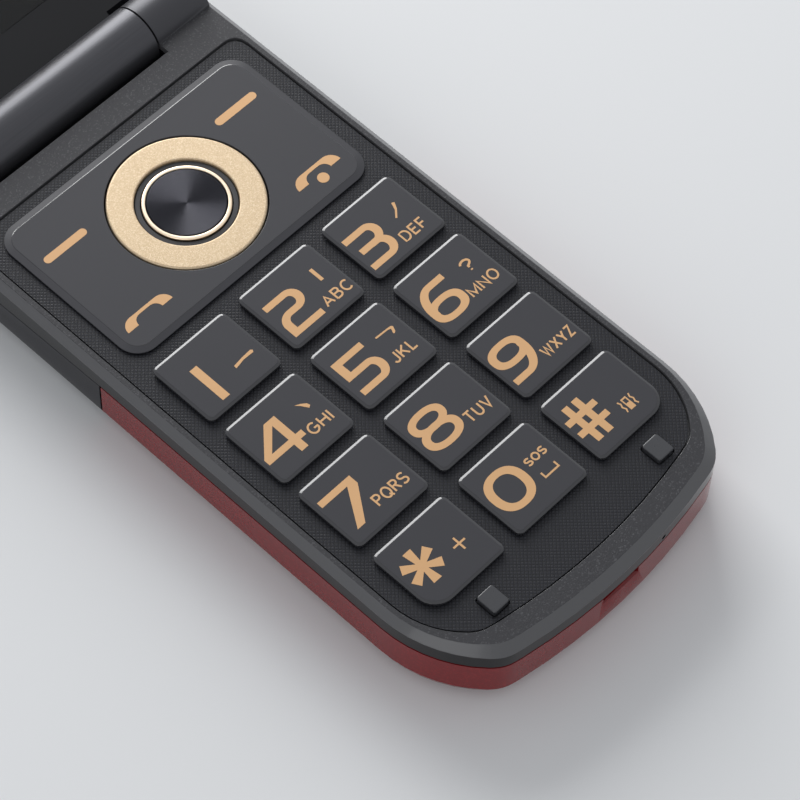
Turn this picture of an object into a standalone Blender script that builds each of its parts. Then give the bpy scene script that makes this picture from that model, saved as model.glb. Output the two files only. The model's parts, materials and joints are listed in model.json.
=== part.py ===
"""Flip phone with a large keypad, modelled as its separate pieces.

Units are metres and +Z is up. X runs along the hinge and +Y points from the keypad towards the lid.
The origin is on the flat underside that the phone lies on, midway along the base.
The lid is modelled in its own frame, whose origin is on the hinge axis: there +Y runs along the lid,
away from the hinge, and +Z is the side that the screen faces.
"""

import math

import bmesh
import bpy
from mathutils import Euler, Vector

# Base, seen from above
WALL_HALF_WIDTH = 0.0275
WALL_END_Y = -0.0562
SHOULDER_Y = -0.0384
SHOULDER_IN = 0.0071
END_ARC_RADIUS = 0.090
END_CORNER_BLEND = 0.0016
BODY_HINGE_Y = 0.0510
HINGE_CORNER_BLEND = 0.0010
CHAMFER_SIDE = 0.00105
CHAMFER_END = 0.0015
CHAMFER_DROP = 0.00105
BEZEL_SIDE = 0.0010
BEZEL_END = 0.00335
PANEL_HINGE_Y = 0.0413
PANEL_SHOULDER_IN = 0.0054
PANEL_CORNER_BLEND = 0.0025
UNDER_RADIUS = 0.0028

# Base, heights
DECK_Z = 0.0124
SEAM_DROP = 0.0035
SEAM_SLOPE = 0.042
PANEL_SUNK = 0.00025
KEY_PROUD = 0.00065
GAP = 0.0003
FINE_GAP = 0.00015
PANEL_THICKNESS = 0.0005
FLOOR_THICKNESS = 0.0007
FLANGE_THICKNESS = 0.0005
KEY_TRAVEL = 0.00025
NUB_HEIGHT = 0.0003
WEB_THICKNESS = 0.0003
DOME_HEIGHT = 0.0002
DOME_SHEET_THICKNESS = 0.0002
BOARD_THICKNESS = 0.0008
CHASSIS_FLOOR = 0.0007
COVER_THICKNESS = 0.00115
FRONT_WALL = 0.0013
CHASSIS_RIM = 0.0009
OVERRUN = 0.002

# Keys
KEY_FIELD_MARGIN = 0.0052
KEY_SPACE = 0.0034
ROW_PITCH = 0.01356
FIRST_ROW_Y = 0.0030
KEY_WIDTH = 2.0 * (WALL_HALF_WIDTH - KEY_FIELD_MARGIN - KEY_SPACE) / 3.0
COLUMN_PITCH = KEY_WIDTH + KEY_SPACE
KEY_LENGTH = 0.0107
KEY_CORNER = 0.0010
KEY_WIDE_CORNER = 0.0030
KEY_CAP_OUT = 0.00043
KEY_CAP_DROP = 0.00032
CAP_LIFT = 0.00005
KEY_GAP = 0.00025
FLANGE_OUT = 0.0007
PLUNGER_RADIUS = 0.0016
NUB_RADIUS = 0.0022
DOME_RADIUS = 0.0021
KEY_SKIN = 0.0013
KEY_WALL = 0.0009

# Function plate and navigation keys
PLATE_MARGIN = 0.0057
PLATE_WIDTH = 2.0 * (WALL_HALF_WIDTH - PLATE_MARGIN)
PLATE_LENGTH = 0.0260
PLATE_Y = 0.02529
PLATE_CORNER = 0.0024
PLATE_BELOW_KEYS = 0.0003
PLATE_CAP_OUT = 0.0011
PLATE_CAP_DROP = 0.0002
PLATE_SKIN = 0.0010
PLATE_WALL = 0.0008
SOFT_KEY_INSET = 0.0048
SOFT_KEY_X = PLATE_WIDTH / 2.0 - SOFT_KEY_INSET
SOFT_KEY_Y = 0.0095
NAV_Y = 0.02515
NAV_OUTER_RADIUS = 0.01115
NAV_INNER_RADIUS = 0.00729
NAV_PROUD = 0.00012
NAV_THICKNESS = 0.0008
NAV_GAP = 0.00022
NAV_LIP = 0.00025
CARRIER_OUTER_RADIUS = 0.0104
CARRIER_INNER_RADIUS = 0.0077
NAV_NUB_REACH = 0.00905
OK_RIM_RADIUS = 0.00628
OK_RIM_WIDTH = 0.00056
OK_RIM_DEPTH = 0.0008
OK_DISC_RADIUS = 0.00557
OK_DISH = 0.00012

# Bumpers
BUMPER_X = COLUMN_PITCH
BUMPER_Y = -0.04725
BUMPER_WIDTH = 0.0029
BUMPER_LENGTH = 0.0033
BUMPER_CORNER = 0.0004
BUMPER_BELOW_KEYS = 0.0001

# Hinge
HINGE_Y = 0.0520
HINGE_BELOW_KEYS = 0.0022
BARREL_RADIUS = 0.0046
KNUCKLE_INSET = 0.0009
KNUCKLE_LENGTH = 0.00995
KNUCKLE_OUTER_X = WALL_HALF_WIDTH - KNUCKLE_INSET
KNUCKLE_INNER_X = KNUCKLE_OUTER_X - KNUCKLE_LENGTH
BARREL_HALF_LENGTH = KNUCKLE_INNER_X - GAP
SLOT_FRONT_Y = 0.0459
SLOT_CLEARANCE = 0.0005
SLOT_WALL = 0.0012
HINGE_BORE_RADIUS = 0.0028
HINGE_BORE_DEPTH = 0.0130
KNUCKLE_BORE_DEPTH = 0.0060
CAM_SHAFT_RADIUS = 0.0015
CAM_BORE_DEPTH = 0.0070
BUSH_BORE_RADIUS = 0.0020
FLEX_RADIUS = 0.0016
FLEX_STEP = 0.0005
FLEX_THICKNESS = 0.00012
FLEX_LENGTH = 0.0140
LID_TILT = math.radians(20.0)

# Battery, its cover and what the base holds
COVER_START_Y = 0.0137
BATTERY_MARGIN = 0.0085
BATTERY_WIDTH = 2.0 * (WALL_HALF_WIDTH - BATTERY_MARGIN)
BATTERY_LENGTH = 0.0500
BATTERY_END_Y = -0.0500
BATTERY_CORNER = 0.0012
BAY_GAP = 0.0003
NOTCH_X = -0.0007
NOTCH_WIDTH = 0.0069
NOTCH_DROP = 0.0013
SIDE_POCKET_WIDTH = 0.0036
SIDE_POCKET_START_Y = -0.0370
SIDE_POCKET_END_Y = 0.0060
POCKET_MARGIN = 0.0008
HINGE_CAVITY_START_Y = 0.0160
HINGE_CAVITY_END_Y = 0.0443
CONNECTOR_X = 0.224 * BATTERY_WIDTH
CONNECTOR_WIDTH = 0.0084
CONNECTOR_LENGTH = 0.0050
CONNECTOR_PRONG_WIDTH = 0.0012
CONNECTOR_PRONG_PITCH = 0.0025
CONNECTOR_PRONG_REACH = 0.0005
SIM_X = -0.21 * BATTERY_WIDTH
SIM_CLEARANCE = 0.0014
SIM_START_Y = BATTERY_END_Y + BATTERY_LENGTH + SIM_CLEARANCE
SIM_WIDTH = 0.395 * BATTERY_WIDTH
SIM_LENGTH = 0.0108
SIM_HEIGHT = 0.0015
SIM_SLOT_HEIGHT = 0.0009
SIM_WALL = 0.0003
SPEAKER_X = -0.0110
SPEAKER_Y = 0.0330
SPEAKER_WIDTH = 0.0150
SPEAKER_LENGTH = 0.0110
SPEAKER_HEIGHT = 0.0032
SPEAKER_CORNER = 0.0020
SPEAKER_CONE_DEPTH = 0.0008
SOUND_SLOT_WIDTH = 0.0008
SOUND_SLOT_PITCH = 0.0018
SOUND_SLOT_LENGTH = 0.0060
MOTOR_X = 0.0110
MOTOR_Y = 0.0360
MOTOR_RADIUS = 0.0050
MOTOR_HEIGHT = 0.0027
SOCKET_Y = 0.0260
SOCKET_WIDTH = 0.0075
SOCKET_HEIGHT = 0.0026
SOCKET_DEPTH = 0.0055
SOCKET_CORNER = 0.0005
SOCKET_MOUTH_DEPTH = 0.0045
SOCKET_WALL = 0.0003
MIC_X = 0.0079
MIC_Y = -0.0505
MIC_RADIUS = 0.0020
MIC_HEIGHT = 0.0014
MIC_HOLE_RADIUS = 0.0004
MIC_HOLE_ABOVE_SEAM = 0.00075
SHEET_MARGIN = 0.0003
SHEET_CORNER = 0.0045
MAT_END_Y = -0.0465
SCREW_SHANK_RADIUS = 0.0005
SCREW_BORE_RADIUS = 0.0007
SCREW_HEAD_RADIUS = 0.0012
SCREW_HEAD_HEIGHT = 0.0009
SCREW_SLOT_WIDTH = 0.0004
SCREW_SLOT_DEPTH = 0.0003
BOSS_RADIUS = 0.00115
COUNTERBORE_RADIUS = 0.0015
MID_SCREW_INSET = 0.0068
MID_SCREW_X = WALL_HALF_WIDTH - MID_SCREW_INSET
MID_SCREW_Y = 0.01015
END_SCREW_INSET = 0.0060
END_SCREW_X = WALL_HALF_WIDTH - END_SCREW_INSET
END_SCREW_Y = -0.0456
SCREW_SEAT_Z = 0.0040

# Lid, in its own frame
LID_START_Y = 0.0051
FACE_BELOW_AXIS = 0.00255
LID_THICKNESS = 0.0074
LID_CHAMFER = 0.0008
LID_FRONT_DEPTH = 0.0032
LID_BACK_RADIUS = 0.0024
LID_WALL = 0.0012
FACE_PLATE = 0.0022
NECK_DEPTH = 0.0060
NECK_OVERLAP = 0.0015
NECK_ROOT_Y = 0.0020
GLASS_START_Y = 0.0126
GLASS_END_Y = 0.0920
GLASS_MARGIN = 0.0035
GLASS_HALF_WIDTH = WALL_HALF_WIDTH - GLASS_MARGIN
GLASS_CORNER = 0.0030
GLASS_THICKNESS = 0.0010
GLASS_SUNK = 0.00010
GLASS_LEDGE = 0.0015
DISPLAY_START_Y = 0.0270
DISPLAY_END_Y = 0.0890
DISPLAY_MARGIN = 0.0015
DISPLAY_HALF_WIDTH = GLASS_HALF_WIDTH - DISPLAY_MARGIN
DISPLAY_THICKNESS = 0.0023
LID_BOARD_THICKNESS = 0.0006
LID_BOARD_MARGIN = 0.0010
EARPIECE_Y = 0.0985
EARPIECE_WIDTH = 0.0150
EARPIECE_LENGTH = 0.0060
EARPIECE_HEIGHT = 0.0025
EARPIECE_CORNER = 0.0015
GRILLE_WIDTH = 0.0120
GRILLE_LENGTH = 0.0022
GRILLE_THICKNESS = 0.0006
GRILLE_RIB_PITCH = 0.0012
GRILLE_RIB_WIDTH = 0.0004
CAMERA_Y = 0.0185
CAMERA_WIDTH = 0.0064
CAMERA_WINDOW_RADIUS = 0.0036
CAMERA_WINDOW_THICKNESS = 0.0010
TORCH_X = 0.0082
TORCH_RADIUS = 0.0014
LID_SCREW_INSET = 0.0050
LID_SCREW_X = WALL_HALF_WIDTH - LID_SCREW_INSET
LID_SCREW_Y = 0.0092
PLUG_RADIUS = 0.0018
PLUG_THICKNESS = 0.0005
LID_SCREW_HEAD_HEIGHT = 0.0006

# Smoothness of round shapes
ROUND_STEPS = 40
SMALL_ROUND_STEPS = 16
CORNER_STEPS = 4
ARC_STEPS = 8
BLEND_LIMIT_SHARE = 0.8

# Heights of the base's layers, from the deck down
KEY_TOP_Z = DECK_Z + KEY_PROUD
PLATE_TOP_Z = KEY_TOP_Z - PLATE_BELOW_KEYS
PANEL_TOP_Z = DECK_Z - PANEL_SUNK
CAP_LOW_Z = PANEL_TOP_Z + KEY_TRAVEL + CAP_LIFT
PANEL_BOTTOM_Z = PANEL_TOP_Z - PANEL_THICKNESS
FLOOR_TOP_Z = PANEL_BOTTOM_Z - GAP
FLOOR_BOTTOM_Z = FLOOR_TOP_Z - FLOOR_THICKNESS
FLANGE_TOP_Z = FLOOR_BOTTOM_Z - GAP
FLANGE_BOTTOM_Z = FLANGE_TOP_Z - FLANGE_THICKNESS
NUB_TOP_Z = FLANGE_BOTTOM_Z - KEY_TRAVEL - KEY_GAP
WEB_TOP_Z = NUB_TOP_Z - NUB_HEIGHT
WEB_BOTTOM_Z = WEB_TOP_Z - WEB_THICKNESS
DOME_TOP_Z = WEB_BOTTOM_Z - GAP
SHEET_TOP_Z = DOME_TOP_Z - DOME_HEIGHT
SHEET_BOTTOM_Z = SHEET_TOP_Z - DOME_SHEET_THICKNESS
BOARD_TOP_Z = SHEET_BOTTOM_Z - GAP
BOARD_BOTTOM_Z = BOARD_TOP_Z - BOARD_THICKNESS
CHASSIS_TOP_Z = BOARD_BOTTOM_Z - GAP
BAY_ROOF_Z = CHASSIS_TOP_Z - CHASSIS_FLOOR
BATTERY_TOP_Z = BAY_ROOF_Z - GAP
BATTERY_BOTTOM_Z = COVER_THICKNESS + GAP
SEAM_Z = DECK_Z - SEAM_DROP
RIM_TOP_Z = FLANGE_TOP_Z

# Insets from the outer wall
CHASSIS_INSET = FRONT_WALL + GAP
POCKET_INSET = CHASSIS_INSET + CHASSIS_RIM
SHEET_INSET = POCKET_INSET + SHEET_MARGIN

HINGE_Z = KEY_TOP_Z - HINGE_BELOW_KEYS
FACE_Z = -FACE_BELOW_AXIS
BACK_Z = FACE_Z - LID_THICKNESS
LID_SEAM_Z = FACE_Z - LID_FRONT_DEPTH
LID_INSIDE_Z = FACE_Z - FACE_PLATE
LID_END_REACH = HINGE_Y - WALL_END_Y

KEY_NAMES = (("key_1", "key_2", "key_3"),
             ("key_4", "key_5", "key_6"),
             ("key_7", "key_8", "key_9"),
             ("key_star", "key_0", "key_hash"))


def material(name, colour, roughness, metallic=0.0, alpha=1.0):
    """Return a new Principled material."""
    made = bpy.data.materials.new(name)
    made.use_nodes = True
    shader = made.node_tree.nodes["Principled BSDF"]
    shader.inputs["Base Color"].default_value = (*colour, 1.0)
    shader.inputs["Roughness"].default_value = roughness
    shader.inputs["Metallic"].default_value = metallic
    shader.inputs["Alpha"].default_value = alpha
    made.diffuse_color = (*colour, alpha)
    return made


def object_from_loops(name, loops, closed=False):
    """Return an object whose skin joins loops of equal count, capped at both ends unless closed."""
    mesh = bmesh.new()
    rows = [[mesh.verts.new(point) for point in loop] for loop in loops]
    count = len(rows[0])
    pairs = list(zip(rows, rows[1:]))
    if closed:
        pairs.append((rows[-1], rows[0]))
    for lower, upper in pairs:
        for index in range(count):
            following = (index + 1) % count
            mesh.faces.new((lower[index], lower[following], upper[following], upper[index]))
    if not closed:
        mesh.faces.new(rows[0])
        mesh.faces.new(rows[-1])
    bmesh.ops.recalc_face_normals(mesh, faces=mesh.faces[:])
    data = bpy.data.meshes.new(name)
    mesh.to_mesh(data)
    mesh.free()
    made = bpy.data.objects.new(name, data)
    bpy.context.scene.collection.objects.link(made)
    return made


def combine(target, tool, operation):
    """Apply a Boolean of tool to target and remove the tool."""
    modifier = target.modifiers.new("combine", "BOOLEAN")
    modifier.operation = operation
    modifier.solver = "EXACT"
    modifier.object = tool
    bpy.context.view_layer.update()
    graph = bpy.context.evaluated_depsgraph_get()
    result = bpy.data.meshes.new_from_object(target.evaluated_get(graph))
    previous = target.data
    target.modifiers.clear()
    target.data = result
    result.name = target.name
    bpy.data.meshes.remove(previous)
    tool_mesh = tool.data
    bpy.data.objects.remove(tool)
    bpy.data.meshes.remove(tool_mesh)
    return target


def cut(target, *tools):
    """Take each tool's shape out of target."""
    for tool in tools:
        combine(target, tool, "DIFFERENCE")
    return target


def join(target, *tools):
    """Unite each tool's shape with target."""
    for tool in tools:
        combine(target, tool, "UNION")
    return target


def finish(piece, look, parent=None, location=None):
    """Give a finished piece its material, its smooth shading and its place."""
    piece.data.materials.clear()
    piece.data.materials.append(look)
    piece.data.shade_smooth()
    piece.data.set_sharp_from_angle(angle=math.radians(30.0))
    if parent is not None:
        piece.parent = parent
    if location is not None:
        piece.location = location
    return piece


def pivot(name, location, tilt=0.0):
    """Return an empty on a joint's axis."""
    made = bpy.data.objects.new(name, None)
    made.location = location
    made.rotation_euler = Euler((tilt, 0.0, 0.0))
    made.empty_display_size = BARREL_RADIUS
    bpy.context.scene.collection.objects.link(made)
    return made


def at_height(outline, height):
    """Return an outline's points at one height."""
    return [Vector((x, y, height)) for x, y in outline]


def prism(name, outline, low, high):
    """Return an upright prism over an outline."""
    return object_from_loops(name, [at_height(outline, low), at_height(outline, high)])


def box(name, low, high):
    """Return a box between two corners."""
    outline = [(low[0], low[1]), (high[0], low[1]), (high[0], high[1]), (low[0], high[1])]
    return prism(name, outline, low[2], high[2])


def circle(radius, centre=(0.0, 0.0), steps=ROUND_STEPS):
    """Return a circle's points."""
    turn = 2.0 * math.pi / steps
    return [(centre[0] + radius * math.cos(turn * step), centre[1] + radius * math.sin(turn * step))
            for step in range(steps)]


def rod_x(name, low, high, radius, centre, steps=ROUND_STEPS):
    """Return a round rod along X about a centre given as Y and Z."""
    loops = [[Vector((x, y, z)) for y, z in circle(radius, centre, steps)] for x in (low, high)]
    return object_from_loops(name, loops)


def post(name, radius, low, high, centre=(0.0, 0.0), steps=SMALL_ROUND_STEPS):
    """Return a round upright post."""
    return prism(name, circle(radius, centre, steps), low, high)


def rounded_rectangle(width, length, radii, centre=(0.0, 0.0), steps=CORNER_STEPS):
    """Return a rectangle with round corners: right far, left far, left near and right near."""
    if not isinstance(radii, (tuple, list)):
        radii = (radii,) * 4
    signs = ((1, 1), (-1, 1), (-1, -1), (1, -1))
    points = []
    for quarter, ((sign_x, sign_y), radius) in enumerate(zip(signs, radii)):
        corner_x = centre[0] + sign_x * (width / 2.0 - radius)
        corner_y = centre[1] + sign_y * (length / 2.0 - radius)
        for step in range(steps + 1):
            angle = math.pi / 2.0 * (quarter + step / steps)
            points.append((corner_x + radius * math.cos(angle), corner_y + radius * math.sin(angle)))
    return points


def blend_corner(before, corner, after, reach, steps=CORNER_STEPS):
    """Return points that round a corner, leaving each side at the given reach from it."""
    corner = Vector(corner)
    shorter = min((Vector(before) - corner).length, (Vector(after) - corner).length)
    reach = min(reach, shorter * BLEND_LIMIT_SHARE)
    start = corner + (Vector(before) - corner).normalized() * reach
    end = corner + (Vector(after) - corner).normalized() * reach
    points = []
    for step in range(steps + 1):
        share = step / steps
        low = start.lerp(corner, share)
        high = corner.lerp(end, share)
        point = low.lerp(high, share)
        points.append((point.x, point.y))
    return points


def body_outline(half_width, end_y, hinge_y, shoulder_in, end_blend, hinge_blend, shoulder_y=SHOULDER_Y):
    """Return the phone's outline: straight sides, curved shoulders and a shallow arc at the free end."""
    corner_x = half_width - shoulder_in
    corner_y = end_y + corner_x ** 2 / (2.0 * END_ARC_RADIUS)
    drop = shoulder_y - corner_y
    shoulder_radius = (shoulder_in ** 2 + drop ** 2) / (2.0 * shoulder_in)
    sweep = math.asin(drop / shoulder_radius)
    shoulder = []
    for step in range(ARC_STEPS + 1):
        angle = sweep * step / ARC_STEPS
        shoulder.append((half_width - shoulder_radius + shoulder_radius * math.cos(angle),
                         shoulder_y - shoulder_radius * math.sin(angle)))
    arc_share = 1.0 - 1.0 / ARC_STEPS
    end_arc = []
    for step in range(ARC_STEPS + 1):
        x = corner_x * arc_share * (1.0 - 2.0 * step / ARC_STEPS)
        end_arc.append((x, end_y + x ** 2 / (2.0 * END_ARC_RADIUS)))
    right = shoulder[:-1]
    corner = blend_corner(shoulder[-2], shoulder[-1], end_arc[0], end_blend)
    right_hinge = blend_corner((0.0, hinge_y), (half_width, hinge_y), (half_width, shoulder_y), hinge_blend)
    right_side = right_hinge + right + corner
    left_side = [(-x, y) for x, y in reversed(right_side)]
    points = right_side + end_arc + left_side
    return list(reversed(points))


def wall_outline(inset_side=0.0, inset_end=0.0, inset_hinge=0.0):
    """Return the base's outer outline, drawn in by the given insets."""
    return body_outline(WALL_HALF_WIDTH - inset_side, WALL_END_Y + inset_end, BODY_HINGE_Y - inset_hinge,
                        SHOULDER_IN, END_CORNER_BLEND, HINGE_CORNER_BLEND)


def panel_outline(grow=0.0):
    """Return the keypad panel's outline, grown by a clearance."""
    half_width = WALL_HALF_WIDTH - CHAMFER_SIDE - BEZEL_SIDE + grow
    end_y = WALL_END_Y + CHAMFER_END + BEZEL_END - grow
    return body_outline(half_width, end_y, PANEL_HINGE_Y + grow, PANEL_SHOULDER_IN,
                        END_CORNER_BLEND, PANEL_CORNER_BLEND)


def key_places():
    """Yield each number key's name, centre and corner radii."""
    for row, names in enumerate(KEY_NAMES):
        for column, name in enumerate(names):
            x = (column - 1) * COLUMN_PITCH
            y = FIRST_ROW_Y - row * ROW_PITCH
            radii = [KEY_CORNER] * 4
            if name == "key_star":
                radii[2] = KEY_WIDE_CORNER
            if name == "key_hash":
                radii[3] = KEY_WIDE_CORNER
            yield name, (x, y), tuple(radii)


def grown(radii, growth):
    """Return corner radii grown by a clearance."""
    return tuple(radius + growth for radius in radii)


def button_holes(low, high):
    """Return the cutters of the number keys', the plate's and the bumpers' holes."""
    tools = []
    for name, centre, radii in key_places():
        outline = rounded_rectangle(KEY_WIDTH + 2.0 * KEY_GAP, KEY_LENGTH + 2.0 * KEY_GAP,
                                    grown(radii, KEY_GAP), centre)
        tools.append(prism("hole_" + name, outline, low, high))
    plate = rounded_rectangle(PLATE_WIDTH + 2.0 * KEY_GAP, PLATE_LENGTH + 2.0 * KEY_GAP,
                              PLATE_CORNER + KEY_GAP, (0.0, PLATE_Y))
    tools.append(prism("hole_plate", plate, low, high))
    return tools


def seam_height(y):
    """Return the height of the case's seam, which falls towards the hinge past the battery cover."""
    return SEAM_Z - SEAM_SLOPE * max(0.0, y - COVER_START_Y)


def screw_places():
    """Return the centres of the four case screws."""
    return ((MID_SCREW_X, MID_SCREW_Y), (-MID_SCREW_X, MID_SCREW_Y),
            (END_SCREW_X, END_SCREW_Y), (-END_SCREW_X, END_SCREW_Y))


def seam_tool(name, shift, far_z):
    """Return a cutter that takes away everything between the seam, shifted in height, and far_z."""
    reach = WALL_HALF_WIDTH + OVERRUN
    profile = ((WALL_END_Y - OVERRUN, far_z), (WALL_END_Y - OVERRUN, SEAM_Z + shift),
               (COVER_START_Y, SEAM_Z + shift), (BODY_HINGE_Y + OVERRUN, seam_height(BODY_HINGE_Y + OVERRUN) + shift),
               (BODY_HINGE_Y + OVERRUN, far_z))
    return object_from_loops(name, [[Vector((x, y, z)) for y, z in profile] for x in (-reach, reach)])


def make_front_case(look):
    """Make the upper case: deck, chamfer, walls, recessed floor, hinge knuckles and screw bosses."""
    deck = wall_outline(CHAMFER_SIDE, CHAMFER_END)
    wall = wall_outline()
    inner = wall_outline(FRONT_WALL, FRONT_WALL, FRONT_WALL)
    case = object_from_loops("front_case", [at_height(wall, BAY_ROOF_Z), at_height(wall, DECK_Z - CHAMFER_DROP),
                                            at_height(deck, DECK_Z)])
    cut(case, seam_tool("below_seam", 0.0, 0.0))
    knuckles = [rod_x("knuckle", side * (KNUCKLE_INNER_X - OVERRUN), side * KNUCKLE_OUTER_X,
                      BARREL_RADIUS, (HINGE_Y, HINGE_Z)) for side in (1.0, -1.0)]
    cut(case, prism("inside", inner, 0.0, FLOOR_BOTTOM_Z))
    cut(case, prism("recess", panel_outline(KEY_GAP), FLOOR_TOP_Z, DECK_Z + OVERRUN))
    cut(case, *button_holes(0.0, DECK_Z))
    join(case, *knuckles)
    cut(case, box("slot", (-KNUCKLE_INNER_X, SLOT_FRONT_Y, 0.0),
                  (KNUCKLE_INNER_X, HINGE_Y + BARREL_RADIUS + OVERRUN, KEY_TOP_Z + BARREL_RADIUS)))
    for side in (1.0, -1.0):
        ends = sorted((side * (KNUCKLE_INNER_X - OVERRUN), side * (KNUCKLE_INNER_X + KNUCKLE_BORE_DEPTH)))
        cut(case, rod_x("bore", ends[0], ends[1], HINGE_BORE_RADIUS, (HINGE_Y, HINGE_Z), SMALL_ROUND_STEPS))
    for centre in screw_places():
        join(case, post("boss", BOSS_RADIUS, BOARD_BOTTOM_Z, FLOOR_TOP_Z - FINE_GAP, centre))
        cut(case, post("thread", SCREW_BORE_RADIUS, 0.0, FLOOR_BOTTOM_Z - GAP, centre, CORNER_STEPS * 2))
    cut(case, microphone_hole())
    return finish(case, look)


def microphone_hole():
    """Return the cutter of the sound hole in the free end's wall."""
    hole = object_from_loops("sound_hole", [
        [Vector((MIC_X + x, y, SEAM_Z + MIC_HOLE_ABOVE_SEAM + z))
         for x, z in circle(MIC_HOLE_RADIUS, steps=CORNER_STEPS * 2)]
        for y in (WALL_END_Y - OVERRUN, WALL_END_Y + POCKET_INSET + OVERRUN)])
    return hole


def make_panel(look):
    """Make the patterned keypad panel."""
    panel = prism("keypad_panel", panel_outline(), PANEL_BOTTOM_Z, PANEL_TOP_Z)
    cut(panel, *button_holes(0.0, DECK_Z))
    for side in (1.0, -1.0):
        hole = rounded_rectangle(BUMPER_WIDTH + 2.0 * FINE_GAP, BUMPER_LENGTH + 2.0 * FINE_GAP,
                                 BUMPER_CORNER, (side * BUMPER_X, BUMPER_Y))
        cut(panel, prism("bumper_hole", hole, 0.0, DECK_Z))
    return finish(panel, look)


def make_bumpers(look):
    """Make the two rubber bumpers that the closed lid meets."""
    outline = rounded_rectangle(BUMPER_WIDTH, BUMPER_LENGTH, BUMPER_CORNER)
    low = FLOOR_TOP_Z + GAP
    height = KEY_TOP_Z - BUMPER_BELOW_KEYS - low
    for name, side in (("bumper_right", 1.0), ("bumper_left", -1.0)):
        bumper = prism(name, outline, 0.0, height)
        finish(bumper, look, location=(side * BUMPER_X, BUMPER_Y, low))


def make_keys(look):
    """Make the twelve number keys, each hollow below with a plunger and a retaining flange."""
    top = KEY_TOP_Z - FLANGE_BOTTOM_Z
    flange_top = FLANGE_TOP_Z - FLANGE_BOTTOM_Z
    cap_low = CAP_LOW_Z - FLANGE_BOTTOM_Z
    for name, centre, radii in key_places():
        side = rounded_rectangle(KEY_WIDTH, KEY_LENGTH, radii)
        cap = rounded_rectangle(KEY_WIDTH + 2.0 * KEY_CAP_OUT, KEY_LENGTH + 2.0 * KEY_CAP_OUT,
                                grown(radii, KEY_CAP_OUT))
        flange = rounded_rectangle(KEY_WIDTH + 2.0 * FLANGE_OUT, KEY_LENGTH + 2.0 * FLANGE_OUT,
                                   grown(radii, FLANGE_OUT))
        hollow = rounded_rectangle(KEY_WIDTH - 2.0 * KEY_WALL, KEY_LENGTH - 2.0 * KEY_WALL,
                                   grown(radii, -KEY_WALL))
        loops = [at_height(hollow, 0.0), at_height(flange, 0.0), at_height(flange, flange_top),
                 at_height(side, flange_top), at_height(side, cap_low), at_height(cap, cap_low),
                 at_height(cap, top - KEY_CAP_DROP), at_height(side, top)]
        key = object_from_loops(name, loops)
        cut(key, prism("hollow", hollow, -OVERRUN, top - KEY_SKIN))
        join(key, post("plunger", PLUNGER_RADIUS, 0.0, top - KEY_CAP_DROP))
        finish(key, look, location=(centre[0], centre[1], FLANGE_BOTTOM_Z))


def make_function_plate(look):
    """Make the plate that carries the soft keys and the call keys round the navigation ring."""
    top = PLATE_TOP_Z - FLANGE_BOTTOM_Z
    flange_top = FLANGE_TOP_Z - FLANGE_BOTTOM_Z
    cap_low = CAP_LOW_Z - FLANGE_BOTTOM_Z
    side = rounded_rectangle(PLATE_WIDTH, PLATE_LENGTH, PLATE_CORNER, steps=ARC_STEPS)
    cap = rounded_rectangle(PLATE_WIDTH + 2.0 * PLATE_CAP_OUT, PLATE_LENGTH + 2.0 * PLATE_CAP_OUT,
                            PLATE_CORNER + PLATE_CAP_OUT, steps=ARC_STEPS)
    flange = rounded_rectangle(PLATE_WIDTH + 2.0 * FLANGE_OUT, PLATE_LENGTH + 2.0 * FLANGE_OUT,
                               PLATE_CORNER + FLANGE_OUT, steps=ARC_STEPS)
    hollow = rounded_rectangle(PLATE_WIDTH - 2.0 * PLATE_WALL, PLATE_LENGTH - 2.0 * PLATE_WALL,
                               PLATE_CORNER - PLATE_WALL, steps=ARC_STEPS)
    plate = object_from_loops("function_plate", [
        at_height(flange, 0.0), at_height(flange, flange_top), at_height(side, flange_top),
        at_height(side, cap_low), at_height(cap, cap_low),
        at_height(cap, top - PLATE_CAP_DROP), at_height(side, top)])
    nav = (0.0, NAV_Y - PLATE_Y)
    ring_hole = NAV_OUTER_RADIUS + NAV_GAP
    cut(plate, prism("hollow", hollow, -OVERRUN, top - PLATE_SKIN))
    join(plate, post("ring_wall", ring_hole + PLATE_WALL, 0.0, top - PLATE_CAP_DROP, nav, ROUND_STEPS))
    cut(plate, post("ring_hole", ring_hole, -OVERRUN, top + OVERRUN, nav, ROUND_STEPS))
    for side_x in (1.0, -1.0):
        for side_y in (1.0, -1.0):
            join(plate, post("plunger", PLUNGER_RADIUS, 0.0, top - PLATE_CAP_DROP,
                             (side_x * SOFT_KEY_X, side_y * SOFT_KEY_Y)))
    finish(plate, look, location=(0.0, PLATE_Y, FLANGE_BOTTOM_Z))


def turned(name, profile, steps=ROUND_STEPS, closed=True):
    """Return a solid turned about Z from a profile of radius and height."""
    loops = [[Vector((x, y, height)) for x, y in circle(radius, steps=steps)] for radius, height in profile]
    return object_from_loops(name, loops, closed=closed)


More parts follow.
